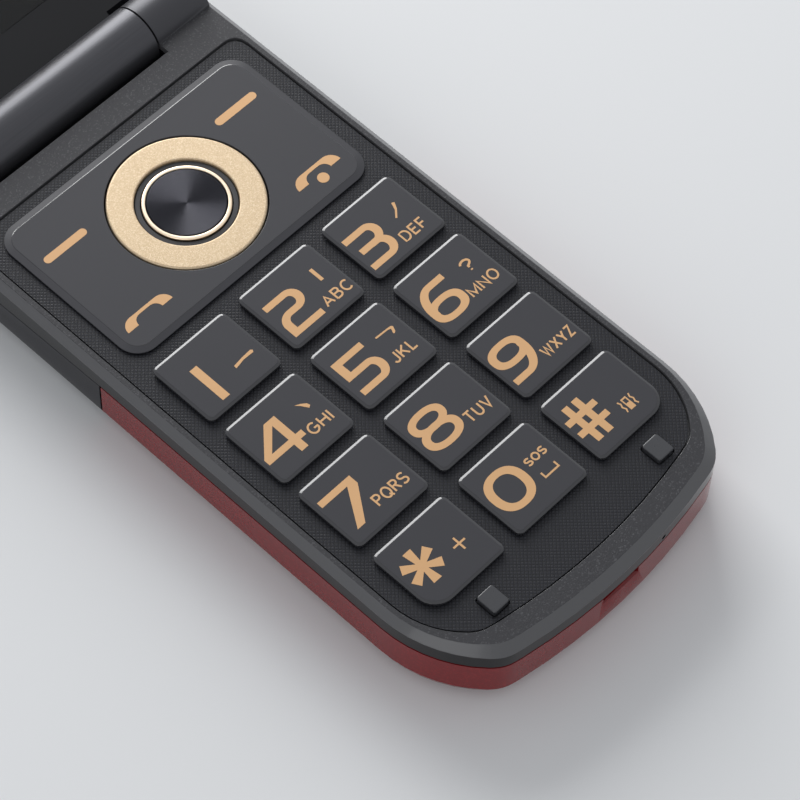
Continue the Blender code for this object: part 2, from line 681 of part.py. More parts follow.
def make_navigation(gold, dark, rubber):
    """Make the gold ring, the rubber carrier under it, the centre key and its gold rim."""
    top = PLATE_TOP_Z + NAV_PROUD - FLANGE_BOTTOM_Z
    low = top - NAV_THICKNESS
    ring = turned("nav_ring", [
        (NAV_OUTER_RADIUS, low), (NAV_OUTER_RADIUS, top - NAV_LIP), (NAV_OUTER_RADIUS - NAV_LIP, top),
        (NAV_INNER_RADIUS + NAV_LIP, top), (NAV_INNER_RADIUS, top - NAV_LIP), (NAV_INNER_RADIUS, low)])
    finish(ring, gold, location=(0.0, NAV_Y, FLANGE_BOTTOM_Z))

    carrier_top = low - GAP
    carrier = turned("nav_carrier", [
        (CARRIER_OUTER_RADIUS, PLATE_WALL), (CARRIER_OUTER_RADIUS, carrier_top),
        (CARRIER_INNER_RADIUS, carrier_top), (CARRIER_INNER_RADIUS, PLATE_WALL)])
    for quarter in range(4):
        angle = math.pi / 2.0 * quarter
        centre = (NAV_NUB_REACH * math.cos(angle), NAV_NUB_REACH * math.sin(angle))
        join(carrier, post("nub", CARRIER_OUTER_RADIUS - NAV_NUB_REACH - FINE_GAP, 0.0,
                           carrier_top - FINE_GAP, centre))
    finish(carrier, rubber, location=(0.0, NAV_Y, FLANGE_BOTTOM_Z))

    disc_top = PLATE_TOP_Z - FLANGE_BOTTOM_Z
    ledge = disc_top - OK_RIM_DEPTH
    disc = turned("ok_key", [
        (PLUNGER_RADIUS, 0.0), (PLUNGER_RADIUS, KEY_SKIN), (OK_RIM_RADIUS, KEY_SKIN),
        (OK_RIM_RADIUS, ledge), (OK_DISC_RADIUS, ledge), (OK_DISC_RADIUS, disc_top),
        (PLUNGER_RADIUS, disc_top - OK_DISH)], closed=False)
    finish(disc, dark, location=(0.0, NAV_Y, FLANGE_BOTTOM_Z))

    rim_inner = OK_RIM_RADIUS - OK_RIM_WIDTH
    rim = turned("ok_key_rim", [
        (OK_RIM_RADIUS, ledge + FINE_GAP), (OK_RIM_RADIUS, disc_top - OK_DISH), (OK_RIM_RADIUS - OK_DISH, disc_top),
        (rim_inner, disc_top), (rim_inner, ledge + FINE_GAP)])
    finish(rim, gold, location=(0.0, NAV_Y, FLANGE_BOTTOM_Z))


def switch_places():
    """Return the centre of every switch: number keys, plate corners, ring directions and centre."""
    places = [centre for name, centre, radii in key_places()]
    places += [(side_x * SOFT_KEY_X, PLATE_Y + side_y * SOFT_KEY_Y)
               for side_x in (1.0, -1.0) for side_y in (1.0, -1.0)]
    places += [(NAV_NUB_REACH * math.cos(math.pi / 2.0 * quarter),
                NAV_Y + NAV_NUB_REACH * math.sin(math.pi / 2.0 * quarter)) for quarter in range(4)]
    places.append((0.0, NAV_Y))
    return places


def sheet_outline(end_y):
    """Return the outline of a layer inside the chassis rim."""
    half_width = WALL_HALF_WIDTH - SHEET_INSET - 2.0 * SHEET_MARGIN
    return rounded_rectangle(2.0 * half_width, PANEL_HINGE_Y - end_y, SHEET_CORNER,
                             (0.0, (PANEL_HINGE_Y + end_y) / 2.0))


def screw_clearances(low, high):
    """Return cutters that clear the screw bosses."""
    return [post("clearance", BOSS_RADIUS + GAP, low, high, centre) for centre in screw_places()]


def make_mat_and_domes(rubber, film):
    """Make the silicone keypad mat and the sheet of switch domes under it."""
    outline = sheet_outline(MAT_END_Y)
    mat = prism("keypad_mat", outline, WEB_BOTTOM_Z, WEB_TOP_Z)
    sheet = prism("dome_sheet", outline, SHEET_BOTTOM_Z, SHEET_TOP_Z)
    for centre in switch_places():
        join(mat, post("nub", NUB_RADIUS, WEB_BOTTOM_Z + FINE_GAP, NUB_TOP_Z, centre, SMALL_ROUND_STEPS // 2))
        dome = object_from_loops("dome", [
            at_height(circle(radius, centre, SMALL_ROUND_STEPS // 2), height)
            for radius, height in ((DOME_RADIUS, SHEET_BOTTOM_Z + DOME_SHEET_THICKNESS / 2.0),
                                   (DOME_RADIUS, SHEET_TOP_Z),
                                   (DOME_RADIUS - DOME_HEIGHT * 3.0, DOME_TOP_Z))])
        join(sheet, dome)
    cut(mat, *screw_clearances(0.0, DECK_Z))
    cut(sheet, *screw_clearances(0.0, DECK_Z))
    finish(mat, rubber)
    finish(sheet, film)


def make_board(look):
    """Make the main circuit board."""
    outline = wall_outline(SHEET_INSET, SHEET_INSET, BODY_HINGE_Y - PANEL_HINGE_Y)
    board = prism("main_board", outline, BOARD_BOTTOM_Z, BOARD_TOP_Z)
    cut(board, *screw_clearances(0.0, DECK_Z))
    return finish(board, look)


def make_rear_case(look):
    """Make the lower case: the shell behind the battery cover and the chassis inside it."""
    wall = wall_outline()
    low = wall_outline(UNDER_RADIUS, UNDER_RADIUS, UNDER_RADIUS)
    quarter = wall_outline(UNDER_RADIUS * (1.0 - math.cos(math.pi / 4.0)),
                           UNDER_RADIUS * (1.0 - math.cos(math.pi / 4.0)),
                           UNDER_RADIUS * (1.0 - math.cos(math.pi / 4.0)))
    shell = object_from_loops("rear_case", [
        at_height(low, 0.0), at_height(quarter, UNDER_RADIUS * (1.0 - math.sin(math.pi / 4.0))),
        at_height(wall, UNDER_RADIUS), at_height(wall, DECK_Z)])
    cut(shell, seam_tool("above_seam", -GAP, DECK_Z + OVERRUN))
    cut(shell, box("cover_space", (-WALL_HALF_WIDTH - OVERRUN, WALL_END_Y - OVERRUN, -OVERRUN),
                   (WALL_HALF_WIDTH + OVERRUN, COVER_START_Y + GAP, DECK_Z)))
    low_inset = UNDER_RADIUS + GAP
    straight = wall_outline(CHASSIS_INSET, CHASSIS_INSET, CHASSIS_INSET)
    chassis = object_from_loops("chassis", [
        at_height(wall_outline(low_inset, low_inset, low_inset), BATTERY_BOTTOM_Z),
        at_height(straight, low_inset), at_height(straight, RIM_TOP_Z)])
    join(shell, chassis)
    pocket_hinge = BODY_HINGE_Y - HINGE_CAVITY_END_Y
    cut(shell, prism("board_pocket", wall_outline(POCKET_INSET, POCKET_INSET, pocket_hinge),
                     CHASSIS_TOP_Z, DECK_Z))
    cut(shell, box("hinge_cavity", (-WALL_HALF_WIDTH + POCKET_INSET, HINGE_CAVITY_START_Y, COVER_THICKNESS),
                   (WALL_HALF_WIDTH - POCKET_INSET, HINGE_CAVITY_END_Y, CHASSIS_TOP_Z + OVERRUN)))
    half_bay = BATTERY_WIDTH / 2.0 + BAY_GAP
    bay_end = BATTERY_END_Y + BATTERY_LENGTH + BAY_GAP
    cut(shell, box("battery_bay", (-half_bay, BATTERY_END_Y - BAY_GAP, 0.0), (half_bay, bay_end, BAY_ROOF_Z)))
    cut(shell, box("sim_pocket", (SIM_X - SIM_WIDTH / 2.0 - GAP, bay_end - OVERRUN, 0.0),
                   (SIM_X + SIM_WIDTH / 2.0 + GAP, SIM_START_Y + SIM_LENGTH + GAP, BAY_ROOF_Z)))
    cut(shell, box("connector_pocket", (CONNECTOR_X - CONNECTOR_WIDTH / 2.0 - GAP, bay_end - OVERRUN, 0.0),
                   (CONNECTOR_X + CONNECTOR_WIDTH / 2.0 + GAP,
                    bay_end + CONNECTOR_LENGTH + CONNECTOR_PRONG_REACH + GAP, BAY_ROOF_Z)))
    for side in (1.0, -1.0):
        pocket_x = sorted((side * (half_bay + POCKET_MARGIN),
                           side * (half_bay + POCKET_MARGIN + SIDE_POCKET_WIDTH)))
        cut(shell, box("side_pocket", (pocket_x[0], SIDE_POCKET_START_Y, 0.0),
                       (pocket_x[1], SIDE_POCKET_END_Y, BAY_ROOF_Z)))
    for centre in screw_places():
        cut(shell, post("screw_hole", SCREW_BORE_RADIUS, 0.0, DECK_Z, centre, CORNER_STEPS * 2))
        cut(shell, post("counterbore", COUNTERBORE_RADIUS, 0.0, SCREW_SEAT_Z, centre))
    clear = BARREL_RADIUS + SLOT_CLEARANCE
    cut(shell, rod_x("barrel_space", -KNUCKLE_INNER_X, KNUCKLE_INNER_X, clear, (HINGE_Y, HINGE_Z)))
    cut(shell, box("slot", (-KNUCKLE_INNER_X, SLOT_FRONT_Y, HINGE_Z - clear / 2.0),
                   (KNUCKLE_INNER_X, BODY_HINGE_Y + OVERRUN, DECK_Z)))
    for side in (1.0, -1.0):
        ends = sorted((side * (KNUCKLE_INNER_X - GAP), side * (WALL_HALF_WIDTH + OVERRUN)))
        cut(shell, rod_x("knuckle_space", ends[0], ends[1], BARREL_RADIUS + GAP, (HINGE_Y, HINGE_Z)))
    first = -(SOUND_SLOT_PITCH * 1.5)
    for index in range(4):
        x = SPEAKER_X + first + SOUND_SLOT_PITCH * index
        cut(shell, box("sound_slot", (x - SOUND_SLOT_WIDTH / 2.0, SPEAKER_Y - SOUND_SLOT_LENGTH / 2.0, -OVERRUN),
                       (x + SOUND_SLOT_WIDTH / 2.0, SPEAKER_Y + SOUND_SLOT_LENGTH / 2.0,
                        COVER_THICKNESS + OVERRUN / 4.0)))
    socket_top = BOARD_BOTTOM_Z - GAP
    cut(shell, box("socket_mouth", (WALL_HALF_WIDTH - POCKET_INSET - OVERRUN,
                                    SOCKET_Y - SOCKET_WIDTH / 2.0 - GAP, socket_top - SOCKET_HEIGHT - GAP),
                   (WALL_HALF_WIDTH + OVERRUN, SOCKET_Y + SOCKET_WIDTH / 2.0 + GAP, socket_top)))
    cut(shell, microphone_hole())
    return finish(shell, look)


def make_battery_cover(look):
    """Make the battery cover, a thin tray under the chassis with a nail notch at the free end."""
    turn = UNDER_RADIUS * (1.0 - math.cos(math.pi / 4.0))
    inner_radius = UNDER_RADIUS - COVER_THICKNESS
    inner_turn = COVER_THICKNESS + inner_radius * (1.0 - math.cos(math.pi / 4.0))
    top = SEAM_Z - GAP
    outline = wall_outline()
    inside = wall_outline(COVER_THICKNESS, COVER_THICKNESS)
    inside_turn = wall_outline(inner_turn, inner_turn)
    inside_low = wall_outline(UNDER_RADIUS, UNDER_RADIUS)
    cover = object_from_loops("battery_cover", [
        at_height(wall_outline(UNDER_RADIUS, UNDER_RADIUS), 0.0), at_height(wall_outline(turn, turn), turn),
        at_height(outline, UNDER_RADIUS), at_height(outline, top), at_height(inside, top),
        at_height(inside, UNDER_RADIUS), at_height(inside_turn, inner_turn),
        at_height(inside_low, COVER_THICKNESS)])
    cut(cover, box("beyond", (-WALL_HALF_WIDTH - OVERRUN, COVER_START_Y, -OVERRUN),
                   (WALL_HALF_WIDTH + OVERRUN, BODY_HINGE_Y + OVERRUN, DECK_Z)))
    notch = rounded_rectangle(NOTCH_WIDTH, CHAMFER_END, COVER_THICKNESS / 4.0,
                              (NOTCH_X, WALL_END_Y))
    cut(cover, prism("notch", notch, top - NOTCH_DROP, top + OVERRUN))
    return finish(cover, look)


def make_battery(look, metal):
    """Make the battery pack and the spring connector that it meets."""
    height = BATTERY_TOP_Z - BATTERY_BOTTOM_Z
    round_edge = BATTERY_CORNER / 2.0
    middle = BATTERY_END_Y + BATTERY_LENGTH / 2.0
    loops = []
    for inset, level in ((round_edge, 0.0), (0.0, round_edge), (0.0, height - round_edge), (round_edge, height)):
        loops.append(at_height(rounded_rectangle(BATTERY_WIDTH - 2.0 * inset, BATTERY_LENGTH - 2.0 * inset,
                                                 BATTERY_CORNER), level))
    battery = object_from_loops("battery", loops)
    finish(battery, look, location=(0.0, middle, BATTERY_BOTTOM_Z))

    bay_end = BATTERY_END_Y + BATTERY_LENGTH + BAY_GAP
    start = bay_end + CONNECTOR_PRONG_REACH
    connector = box("battery_connector", (CONNECTOR_X - CONNECTOR_WIDTH / 2.0, start, BATTERY_BOTTOM_Z),
                    (CONNECTOR_X + CONNECTOR_WIDTH / 2.0, start + CONNECTOR_LENGTH, BATTERY_TOP_Z))
    for index in (-1, 0, 1):
        x = CONNECTOR_X + index * CONNECTOR_PRONG_PITCH
        join(connector, box("prong", (x - CONNECTOR_PRONG_WIDTH / 2.0, bay_end, BATTERY_BOTTOM_Z + BATTERY_CORNER),
                            (x + CONNECTOR_PRONG_WIDTH / 2.0, start + CONNECTOR_PRONG_REACH,
                             BATTERY_TOP_Z - BATTERY_CORNER)))
    finish(connector, metal)


def make_sim_holder(look):
    """Make the pressed metal holder of the phone card."""
    top = BAY_ROOF_Z - GAP
    centre = (SIM_X, SIM_START_Y + SIM_LENGTH / 2.0)
    holder = prism("sim_holder", rounded_rectangle(SIM_WIDTH, SIM_LENGTH, SIM_WALL, centre), top - SIM_HEIGHT, top)
    middle = top - SIM_HEIGHT / 2.0
    cut(holder, box("card_slot", (SIM_X - SIM_WIDTH / 2.0 + SIM_WALL * 2.0, SIM_START_Y - OVERRUN,
                                  middle - SIM_SLOT_HEIGHT / 2.0),
                    (SIM_X + SIM_WIDTH / 2.0 - SIM_WALL * 2.0, SIM_START_Y + SIM_LENGTH - SIM_WALL * 3.0,
                     middle + SIM_SLOT_HEIGHT / 2.0)))
    finish(holder, look)


def make_base_parts(dark, metal, chrome):
    """Make the loudspeaker, vibration motor, charging socket and microphone."""
    seat = COVER_THICKNESS + GAP
    outline = rounded_rectangle(SPEAKER_WIDTH, SPEAKER_LENGTH, SPEAKER_CORNER)
    cone = rounded_rectangle(SPEAKER_WIDTH - SPEAKER_CORNER, SPEAKER_LENGTH - SPEAKER_CORNER, SPEAKER_CORNER / 2.0)
    speaker = prism("loudspeaker", outline, 0.0, SPEAKER_HEIGHT)
    cut(speaker, prism("cone", cone, -OVERRUN, SPEAKER_CONE_DEPTH))
    finish(speaker, dark, location=(SPEAKER_X, SPEAKER_Y, seat))

    motor = post("vibration_motor", MOTOR_RADIUS, 0.0, MOTOR_HEIGHT, steps=ROUND_STEPS)
    finish(motor, metal, location=(MOTOR_X, MOTOR_Y, seat))

    top = BOARD_BOTTOM_Z - GAP
    outer_x = WALL_HALF_WIDTH - COVER_THICKNESS
    loops = []
    for x in (outer_x - SOCKET_DEPTH, outer_x):
        loops.append([Vector((x, SOCKET_Y + y, top - SOCKET_HEIGHT / 2.0 + z))
                      for y, z in rounded_rectangle(SOCKET_WIDTH, SOCKET_HEIGHT - GAP, SOCKET_CORNER)])
    socket = object_from_loops("charging_socket", loops)
    mouth = []
    for x in (outer_x - SOCKET_MOUTH_DEPTH, outer_x + OVERRUN):
        mouth.append([Vector((x, SOCKET_Y + y, top - SOCKET_HEIGHT / 2.0 + z))
                      for y, z in rounded_rectangle(SOCKET_WIDTH - 2.0 * SOCKET_WALL,
                                                    SOCKET_HEIGHT - GAP - 2.0 * SOCKET_WALL, SOCKET_WALL)])
    cut(socket, object_from_loops("mouth", mouth))
    tongue_half = SOCKET_HEIGHT / 8.0
    join(socket, box("tongue", (outer_x - SOCKET_DEPTH + SOCKET_WALL, SOCKET_Y - SOCKET_WIDTH / 4.0,
                                top - SOCKET_HEIGHT / 2.0 - tongue_half),
                     (outer_x - SOCKET_CORNER, SOCKET_Y + SOCKET_WIDTH / 4.0,
                      top - SOCKET_HEIGHT / 2.0 + tongue_half)))
    finish(socket, chrome)

    microphone = post("microphone", MIC_RADIUS, 0.0, MIC_HEIGHT, steps=SMALL_ROUND_STEPS)
    finish(microphone, metal, location=(MIC_X, MIC_Y, BOARD_TOP_Z + GAP))


def screw(name, head_height, shank_length, look, parent=None, location=None, upside_down=False):
    """Make a slotted screw whose head's seat is at its origin and whose shank points up."""
    sense = -1.0 if upside_down else 1.0
    profile = [(SCREW_HEAD_RADIUS, -head_height * sense), (SCREW_HEAD_RADIUS, 0.0),
               (SCREW_SHANK_RADIUS, 0.0), (SCREW_SHANK_RADIUS, shank_length * sense)]
    made = turned(name, profile, steps=SMALL_ROUND_STEPS // 2, closed=False)
    low, high = sorted((-(head_height + OVERRUN) * sense, -(head_height - SCREW_SLOT_DEPTH) * sense))
    cut(made, box("driver_slot", (-SCREW_HEAD_RADIUS * 2.0, -SCREW_SLOT_WIDTH / 2.0, low),
                  (SCREW_HEAD_RADIUS * 2.0, SCREW_SLOT_WIDTH / 2.0, high)))
    return finish(made, look, parent=parent, location=location)


def make_case_screws(look):
    """Make the four screws that hold the base's two cases together."""
    length = FLOOR_BOTTOM_Z - 2.0 * GAP - SCREW_SEAT_Z
    names = ("case_screw_right", "case_screw_left", "case_screw_end_right", "case_screw_end_left")
    for name, centre in zip(names, screw_places()):
        screw(name, SCREW_HEAD_HEIGHT, length, look, location=(centre[0], centre[1], SCREW_SEAT_Z - GAP))


def lid_outline(inset_side=0.0, inset_end=0.0, inset_hinge=0.0):
    """Return the lid's outline in its own frame: the base's, turned to run away from the hinge."""
    points = body_outline(WALL_HALF_WIDTH - inset_side, WALL_END_Y + inset_end,
                          HINGE_Y - LID_START_Y - inset_hinge, SHOULDER_IN, END_CORNER_BLEND,
                          HINGE_CORNER_BLEND)
    return [(-x, HINGE_Y - y) for x, y in points]


def along_lid(start, end, half_width, corner, steps=CORNER_STEPS):
    """Return a rounded rectangle on the lid between two distances from the hinge."""
    return rounded_rectangle(2.0 * half_width, end - start, corner, (0.0, (start + end) / 2.0), steps)


def lid_screw_places():
    """Return the centres of the lid's two screws."""
    return ((LID_SCREW_X, LID_SCREW_Y), (-LID_SCREW_X, LID_SCREW_Y))


def make_lid_inner_case(look, lid):
    """Make the lid's front case, which carries the hinge barrel and frames the screen."""
    face = lid_outline(LID_CHAMFER, LID_CHAMFER, LID_CHAMFER)
    wall = lid_outline()
    case = object_from_loops("lid_inner_case", [at_height(wall, LID_SEAM_Z),
                                                at_height(wall, FACE_Z - LID_CHAMFER), at_height(face, FACE_Z)])
    cut(case, prism("inside", lid_outline(LID_WALL, LID_WALL, LID_WALL), BACK_Z, LID_INSIDE_Z))
    neck = [Vector((0.0, y, z)) for y, z in ((-NECK_ROOT_Y / 4.0, -BARREL_RADIUS + FINE_GAP),
                                            (LID_START_Y + NECK_OVERLAP, FACE_Z - NECK_DEPTH),
                                            (LID_START_Y + NECK_OVERLAP, FACE_Z), (NECK_ROOT_Y, FACE_Z))]
    neck_loops = [[Vector((x, point.y, point.z)) for point in neck]
                  for x in (-BARREL_HALF_LENGTH, BARREL_HALF_LENGTH)]
    join(case, object_from_loops("neck", neck_loops))
    join(case, rod_x("barrel", -BARREL_HALF_LENGTH, BARREL_HALF_LENGTH, BARREL_RADIUS, (0.0, 0.0)))
    for side in (1.0, -1.0):
        ends = sorted((side * (BARREL_HALF_LENGTH - HINGE_BORE_DEPTH), side * (BARREL_HALF_LENGTH + OVERRUN)))
        cut(case, rod_x("bore", ends[0], ends[1], HINGE_BORE_RADIUS, (0.0, 0.0), SMALL_ROUND_STEPS))
    glass = along_lid(GLASS_START_Y - FINE_GAP, GLASS_END_Y + FINE_GAP, GLASS_HALF_WIDTH + FINE_GAP, GLASS_CORNER)
    ledge_z = FACE_Z - GLASS_SUNK - GLASS_THICKNESS - GAP
    cut(case, prism("glass_recess", glass, ledge_z, FACE_Z + OVERRUN))
    aperture = along_lid(DISPLAY_START_Y + GLASS_LEDGE, DISPLAY_END_Y - GLASS_LEDGE,
                         DISPLAY_HALF_WIDTH - GLASS_LEDGE, GLASS_LEDGE)
    cut(case, prism("aperture", aperture, BACK_Z, FACE_Z))
    grille_top = rounded_rectangle(GRILLE_WIDTH + 2.0 * FINE_GAP, GRILLE_LENGTH + 2.0 * FINE_GAP,
                                   GRILLE_LENGTH / 2.0, (0.0, EARPIECE_Y))
    cut(case, prism("grille_recess", grille_top, FACE_Z - GRILLE_THICKNESS - 2.0 * GAP, FACE_Z + OVERRUN))
    grille_low = rounded_rectangle(GRILLE_WIDTH - GRILLE_LENGTH / 2.0, GRILLE_LENGTH / 2.0, GRILLE_LENGTH / 8.0,
                                   (0.0, EARPIECE_Y))
    cut(case, prism("sound_slot", grille_low, BACK_Z, FACE_Z))
    for centre in lid_screw_places():
        cut(case, post("plug_recess", PLUG_RADIUS + FINE_GAP, FACE_Z - PLUG_THICKNESS - GAP - FINE_GAP,
                       FACE_Z + OVERRUN, centre))
        cut(case, post("screw_hole", SCREW_BORE_RADIUS, BACK_Z, FACE_Z, centre, CORNER_STEPS * 2))
        cut(case, post("counterbore", SCREW_HEAD_RADIUS + GAP, lid_screw_seat(), FACE_Z, centre))
    return finish(case, look, parent=lid)


def lid_screw_seat():
    """Return the height of the lid screws' seats."""
    return LID_INSIDE_Z + GAP


def make_lid_outer_cover(look, lid):
    """Make the lid's outer cover with its camera and torch holes and screw bosses."""
    turn = LID_BACK_RADIUS * (1.0 - math.cos(math.pi / 4.0))
    top = LID_SEAM_Z - GAP
    radius = LID_BACK_RADIUS
    cover = object_from_loops("lid_outer_cover", [
        at_height(lid_outline(radius, radius, radius), BACK_Z),
        at_height(lid_outline(turn, turn, turn), BACK_Z + turn),
        at_height(lid_outline(), BACK_Z + radius), at_height(lid_outline(), top)])
    inner = lid_outline(LID_WALL, LID_WALL, LID_WALL)
    inner_low = lid_outline(radius, radius, radius)
    hollow = object_from_loops("hollow", [at_height(inner_low, BACK_Z + LID_WALL),
                                          at_height(inner, BACK_Z + radius), at_height(inner, FACE_Z)])
    cut(cover, hollow)
    relief = [Vector((0.0, y, z)) for y, z in ((0.0, FACE_Z), (0.0, FACE_Z - NECK_DEPTH - GAP),
                                              (LID_START_Y + NECK_OVERLAP + GAP, FACE_Z - NECK_DEPTH - GAP),
                                              (LID_START_Y + NECK_OVERLAP + GAP, FACE_Z))]
    relief_half = BARREL_HALF_LENGTH + GAP
    cut(cover, object_from_loops("neck_relief", [[Vector((x, point.y, point.z)) for point in relief]
                                                 for x in (-relief_half, relief_half)]))
    for centre in lid_screw_places():
        join(cover, post("boss", BOSS_RADIUS, BACK_Z + LID_WALL / 2.0, LID_INSIDE_Z - GAP, centre))
        cut(cover, post("thread", SCREW_BORE_RADIUS, BACK_Z + LID_WALL, FACE_Z, centre, CORNER_STEPS * 2))
    cut(cover, post("camera_hole", CAMERA_WINDOW_RADIUS + GAP, BACK_Z - OVERRUN, BACK_Z + LID_WALL + OVERRUN / 4.0,
                    (0.0, CAMERA_Y), ROUND_STEPS))
    cut(cover, post("torch_hole", TORCH_RADIUS + GAP, BACK_Z - OVERRUN, BACK_Z + LID_WALL + OVERRUN / 4.0,
                    (TORCH_X, CAMERA_Y)))
    return finish(cover, look, parent=lid)


def make_lid_screen(glass_look, display_look, board_look, lid):
    """Make the screen's glass, the display module and the lid's circuit board."""
    glass = prism("display_glass", along_lid(GLASS_START_Y, GLASS_END_Y, GLASS_HALF_WIDTH, GLASS_CORNER),
                  FACE_Z - GLASS_SUNK - GLASS_THICKNESS, FACE_Z - GLASS_SUNK)
    finish(glass, glass_look, parent=lid)
    display_top = LID_INSIDE_Z - GAP
    display = prism("display_module", along_lid(DISPLAY_START_Y, DISPLAY_END_Y, DISPLAY_HALF_WIDTH, GLASS_LEDGE / 2.0),
                    display_top - DISPLAY_THICKNESS, display_top)
    finish(display, display_look, parent=lid)
    board_top = display_top - DISPLAY_THICKNESS - GAP
    board = prism("lid_board", along_lid(DISPLAY_START_Y, DISPLAY_END_Y, DISPLAY_HALF_WIDTH - LID_BOARD_MARGIN,
                                         GLASS_LEDGE / 2.0), board_top - LID_BOARD_THICKNESS, board_top)
    finish(board, board_look, parent=lid)


def make_lid_sound(dark, metal, lid):
    """Make the earpiece and its grille."""
    outline = rounded_rectangle(EARPIECE_WIDTH, EARPIECE_LENGTH, EARPIECE_CORNER, (0.0, EARPIECE_Y))
    top = LID_INSIDE_Z - GAP
    finish(prism("earpiece", outline, top - EARPIECE_HEIGHT, top), dark, parent=lid)
    grille_top = FACE_Z - GAP
    grille = prism("earpiece_grille", rounded_rectangle(GRILLE_WIDTH, GRILLE_LENGTH, GRILLE_LENGTH / 2.0 - FINE_GAP,
                                                        (0.0, EARPIECE_Y)), grille_top - GRILLE_THICKNESS, grille_top)
    count = int(GRILLE_WIDTH / GRILLE_RIB_PITCH) - 2
    for index in range(count):
        x = (index - (count - 1) / 2.0) * GRILLE_RIB_PITCH
        cut(grille, box("slit", (x - GRILLE_RIB_WIDTH / 2.0, EARPIECE_Y - GRILLE_LENGTH / 4.0, BACK_Z),
                        (x + GRILLE_RIB_WIDTH / 2.0, EARPIECE_Y + GRILLE_LENGTH / 4.0, FACE_Z)))
    finish(grille, metal, parent=lid)


def make_lid_camera(dark, glass_look, torch_look, lid):
    """Make the camera, its window and the torch lamp on the lid's outer side."""
    top = LID_INSIDE_Z - GAP
    low = BACK_Z + LID_WALL + GAP
    module = prism("camera_module", rounded_rectangle(CAMERA_WIDTH, CAMERA_WIDTH, LID_WALL / 2.0, (0.0, CAMERA_Y)),
                   low, top)
    finish(module, dark, parent=lid)
    window_top = low - GAP
    window = post("camera_window", CAMERA_WINDOW_RADIUS, window_top - CAMERA_WINDOW_THICKNESS, window_top,
                  (0.0, CAMERA_Y), ROUND_STEPS)
    finish(window, glass_look, parent=lid)
    torch = post("torch_lamp", TORCH_RADIUS, window_top - CAMERA_WINDOW_THICKNESS, top, (TORCH_X, CAMERA_Y))
    finish(torch, torch_look, parent=lid)


def make_lid_fasteners(metal, rubber, lid):
    """Make the lid's two screws and the rubber plugs over them."""
    seat = lid_screw_seat() + GAP
    length = seat - (BACK_Z + LID_WALL) - GAP
    for side, centre in zip(("right", "left"), lid_screw_places()):
        screw("lid_screw_" + side, LID_SCREW_HEAD_HEIGHT, length, metal, lid, (centre[0], centre[1], seat),
              upside_down=True)
        plug = post("screw_plug_" + side, PLUG_RADIUS, 0.0, PLUG_THICKNESS)
        finish(plug, rubber, parent=lid, location=(centre[0], centre[1], FACE_Z - PLUG_THICKNESS - FINE_GAP))


def make_hinge(metal, film, lid):
    """Make the spring unit and its shaft, the bush and the flat cable rolled up in the barrel."""
    inner_end = BARREL_HALF_LENGTH - HINGE_BORE_DEPTH + GAP
    housing = rod_x("hinge_spring_unit", inner_end, BARREL_HALF_LENGTH - GAP, HINGE_BORE_RADIUS - GAP,
                    (0.0, 0.0), SMALL_ROUND_STEPS)
    cut(housing, rod_x("shaft_bore", BARREL_HALF_LENGTH - CAM_BORE_DEPTH, BARREL_HALF_LENGTH + OVERRUN,
                       CAM_SHAFT_RADIUS + GAP, (0.0, 0.0), SMALL_ROUND_STEPS))
    finish(housing, metal, parent=lid)

    shaft = rod_x("hinge_shaft", BARREL_HALF_LENGTH - CAM_BORE_DEPTH + GAP,
                  KNUCKLE_INNER_X + KNUCKLE_BORE_DEPTH - GAP, CAM_SHAFT_RADIUS, (0.0, 0.0), SMALL_ROUND_STEPS)
    join(shaft, rod_x("shaft_head", KNUCKLE_INNER_X + GAP, KNUCKLE_INNER_X + KNUCKLE_BORE_DEPTH - GAP,
                      HINGE_BORE_RADIUS - GAP, (0.0, 0.0), SMALL_ROUND_STEPS))
    finish(shaft, metal, location=(0.0, HINGE_Y, HINGE_Z))

    bush = rod_x("hinge_bush", -(KNUCKLE_INNER_X + KNUCKLE_BORE_DEPTH - GAP), -(BARREL_HALF_LENGTH - CAM_BORE_DEPTH),
                 HINGE_BORE_RADIUS - GAP, (0.0, 0.0), SMALL_ROUND_STEPS)
    cut(bush, rod_x("cable_bore", -(KNUCKLE_INNER_X + KNUCKLE_BORE_DEPTH + OVERRUN), 0.0, BUSH_BORE_RADIUS,
                    (0.0, 0.0), SMALL_ROUND_STEPS))
    finish(bush, metal, location=(0.0, HINGE_Y, HINGE_Z))

    turns = 1.6
    steps = int(SMALL_ROUND_STEPS * turns)
    outer = []
    inner = []
    for step in range(steps + 1):
        angle = 2.0 * math.pi * step / SMALL_ROUND_STEPS
        radius = FLEX_RADIUS - FLEX_STEP * step / SMALL_ROUND_STEPS
        for row, reach in ((outer, radius), (inner, radius - FLEX_THICKNESS)):
            row.append((reach * math.cos(angle), reach * math.sin(angle)))
    section = outer + inner[::-1]
    start = -(BARREL_HALF_LENGTH - CAM_BORE_DEPTH / 2.0)
    cable = object_from_loops("flat_cable", [[Vector((x, y, z)) for y, z in section]
                                             for x in (start - FLEX_LENGTH / 2.0 + CAM_BORE_DEPTH / 2.0,
                                                       start + FLEX_LENGTH / 2.0)])
    finish(cable, film, parent=lid)


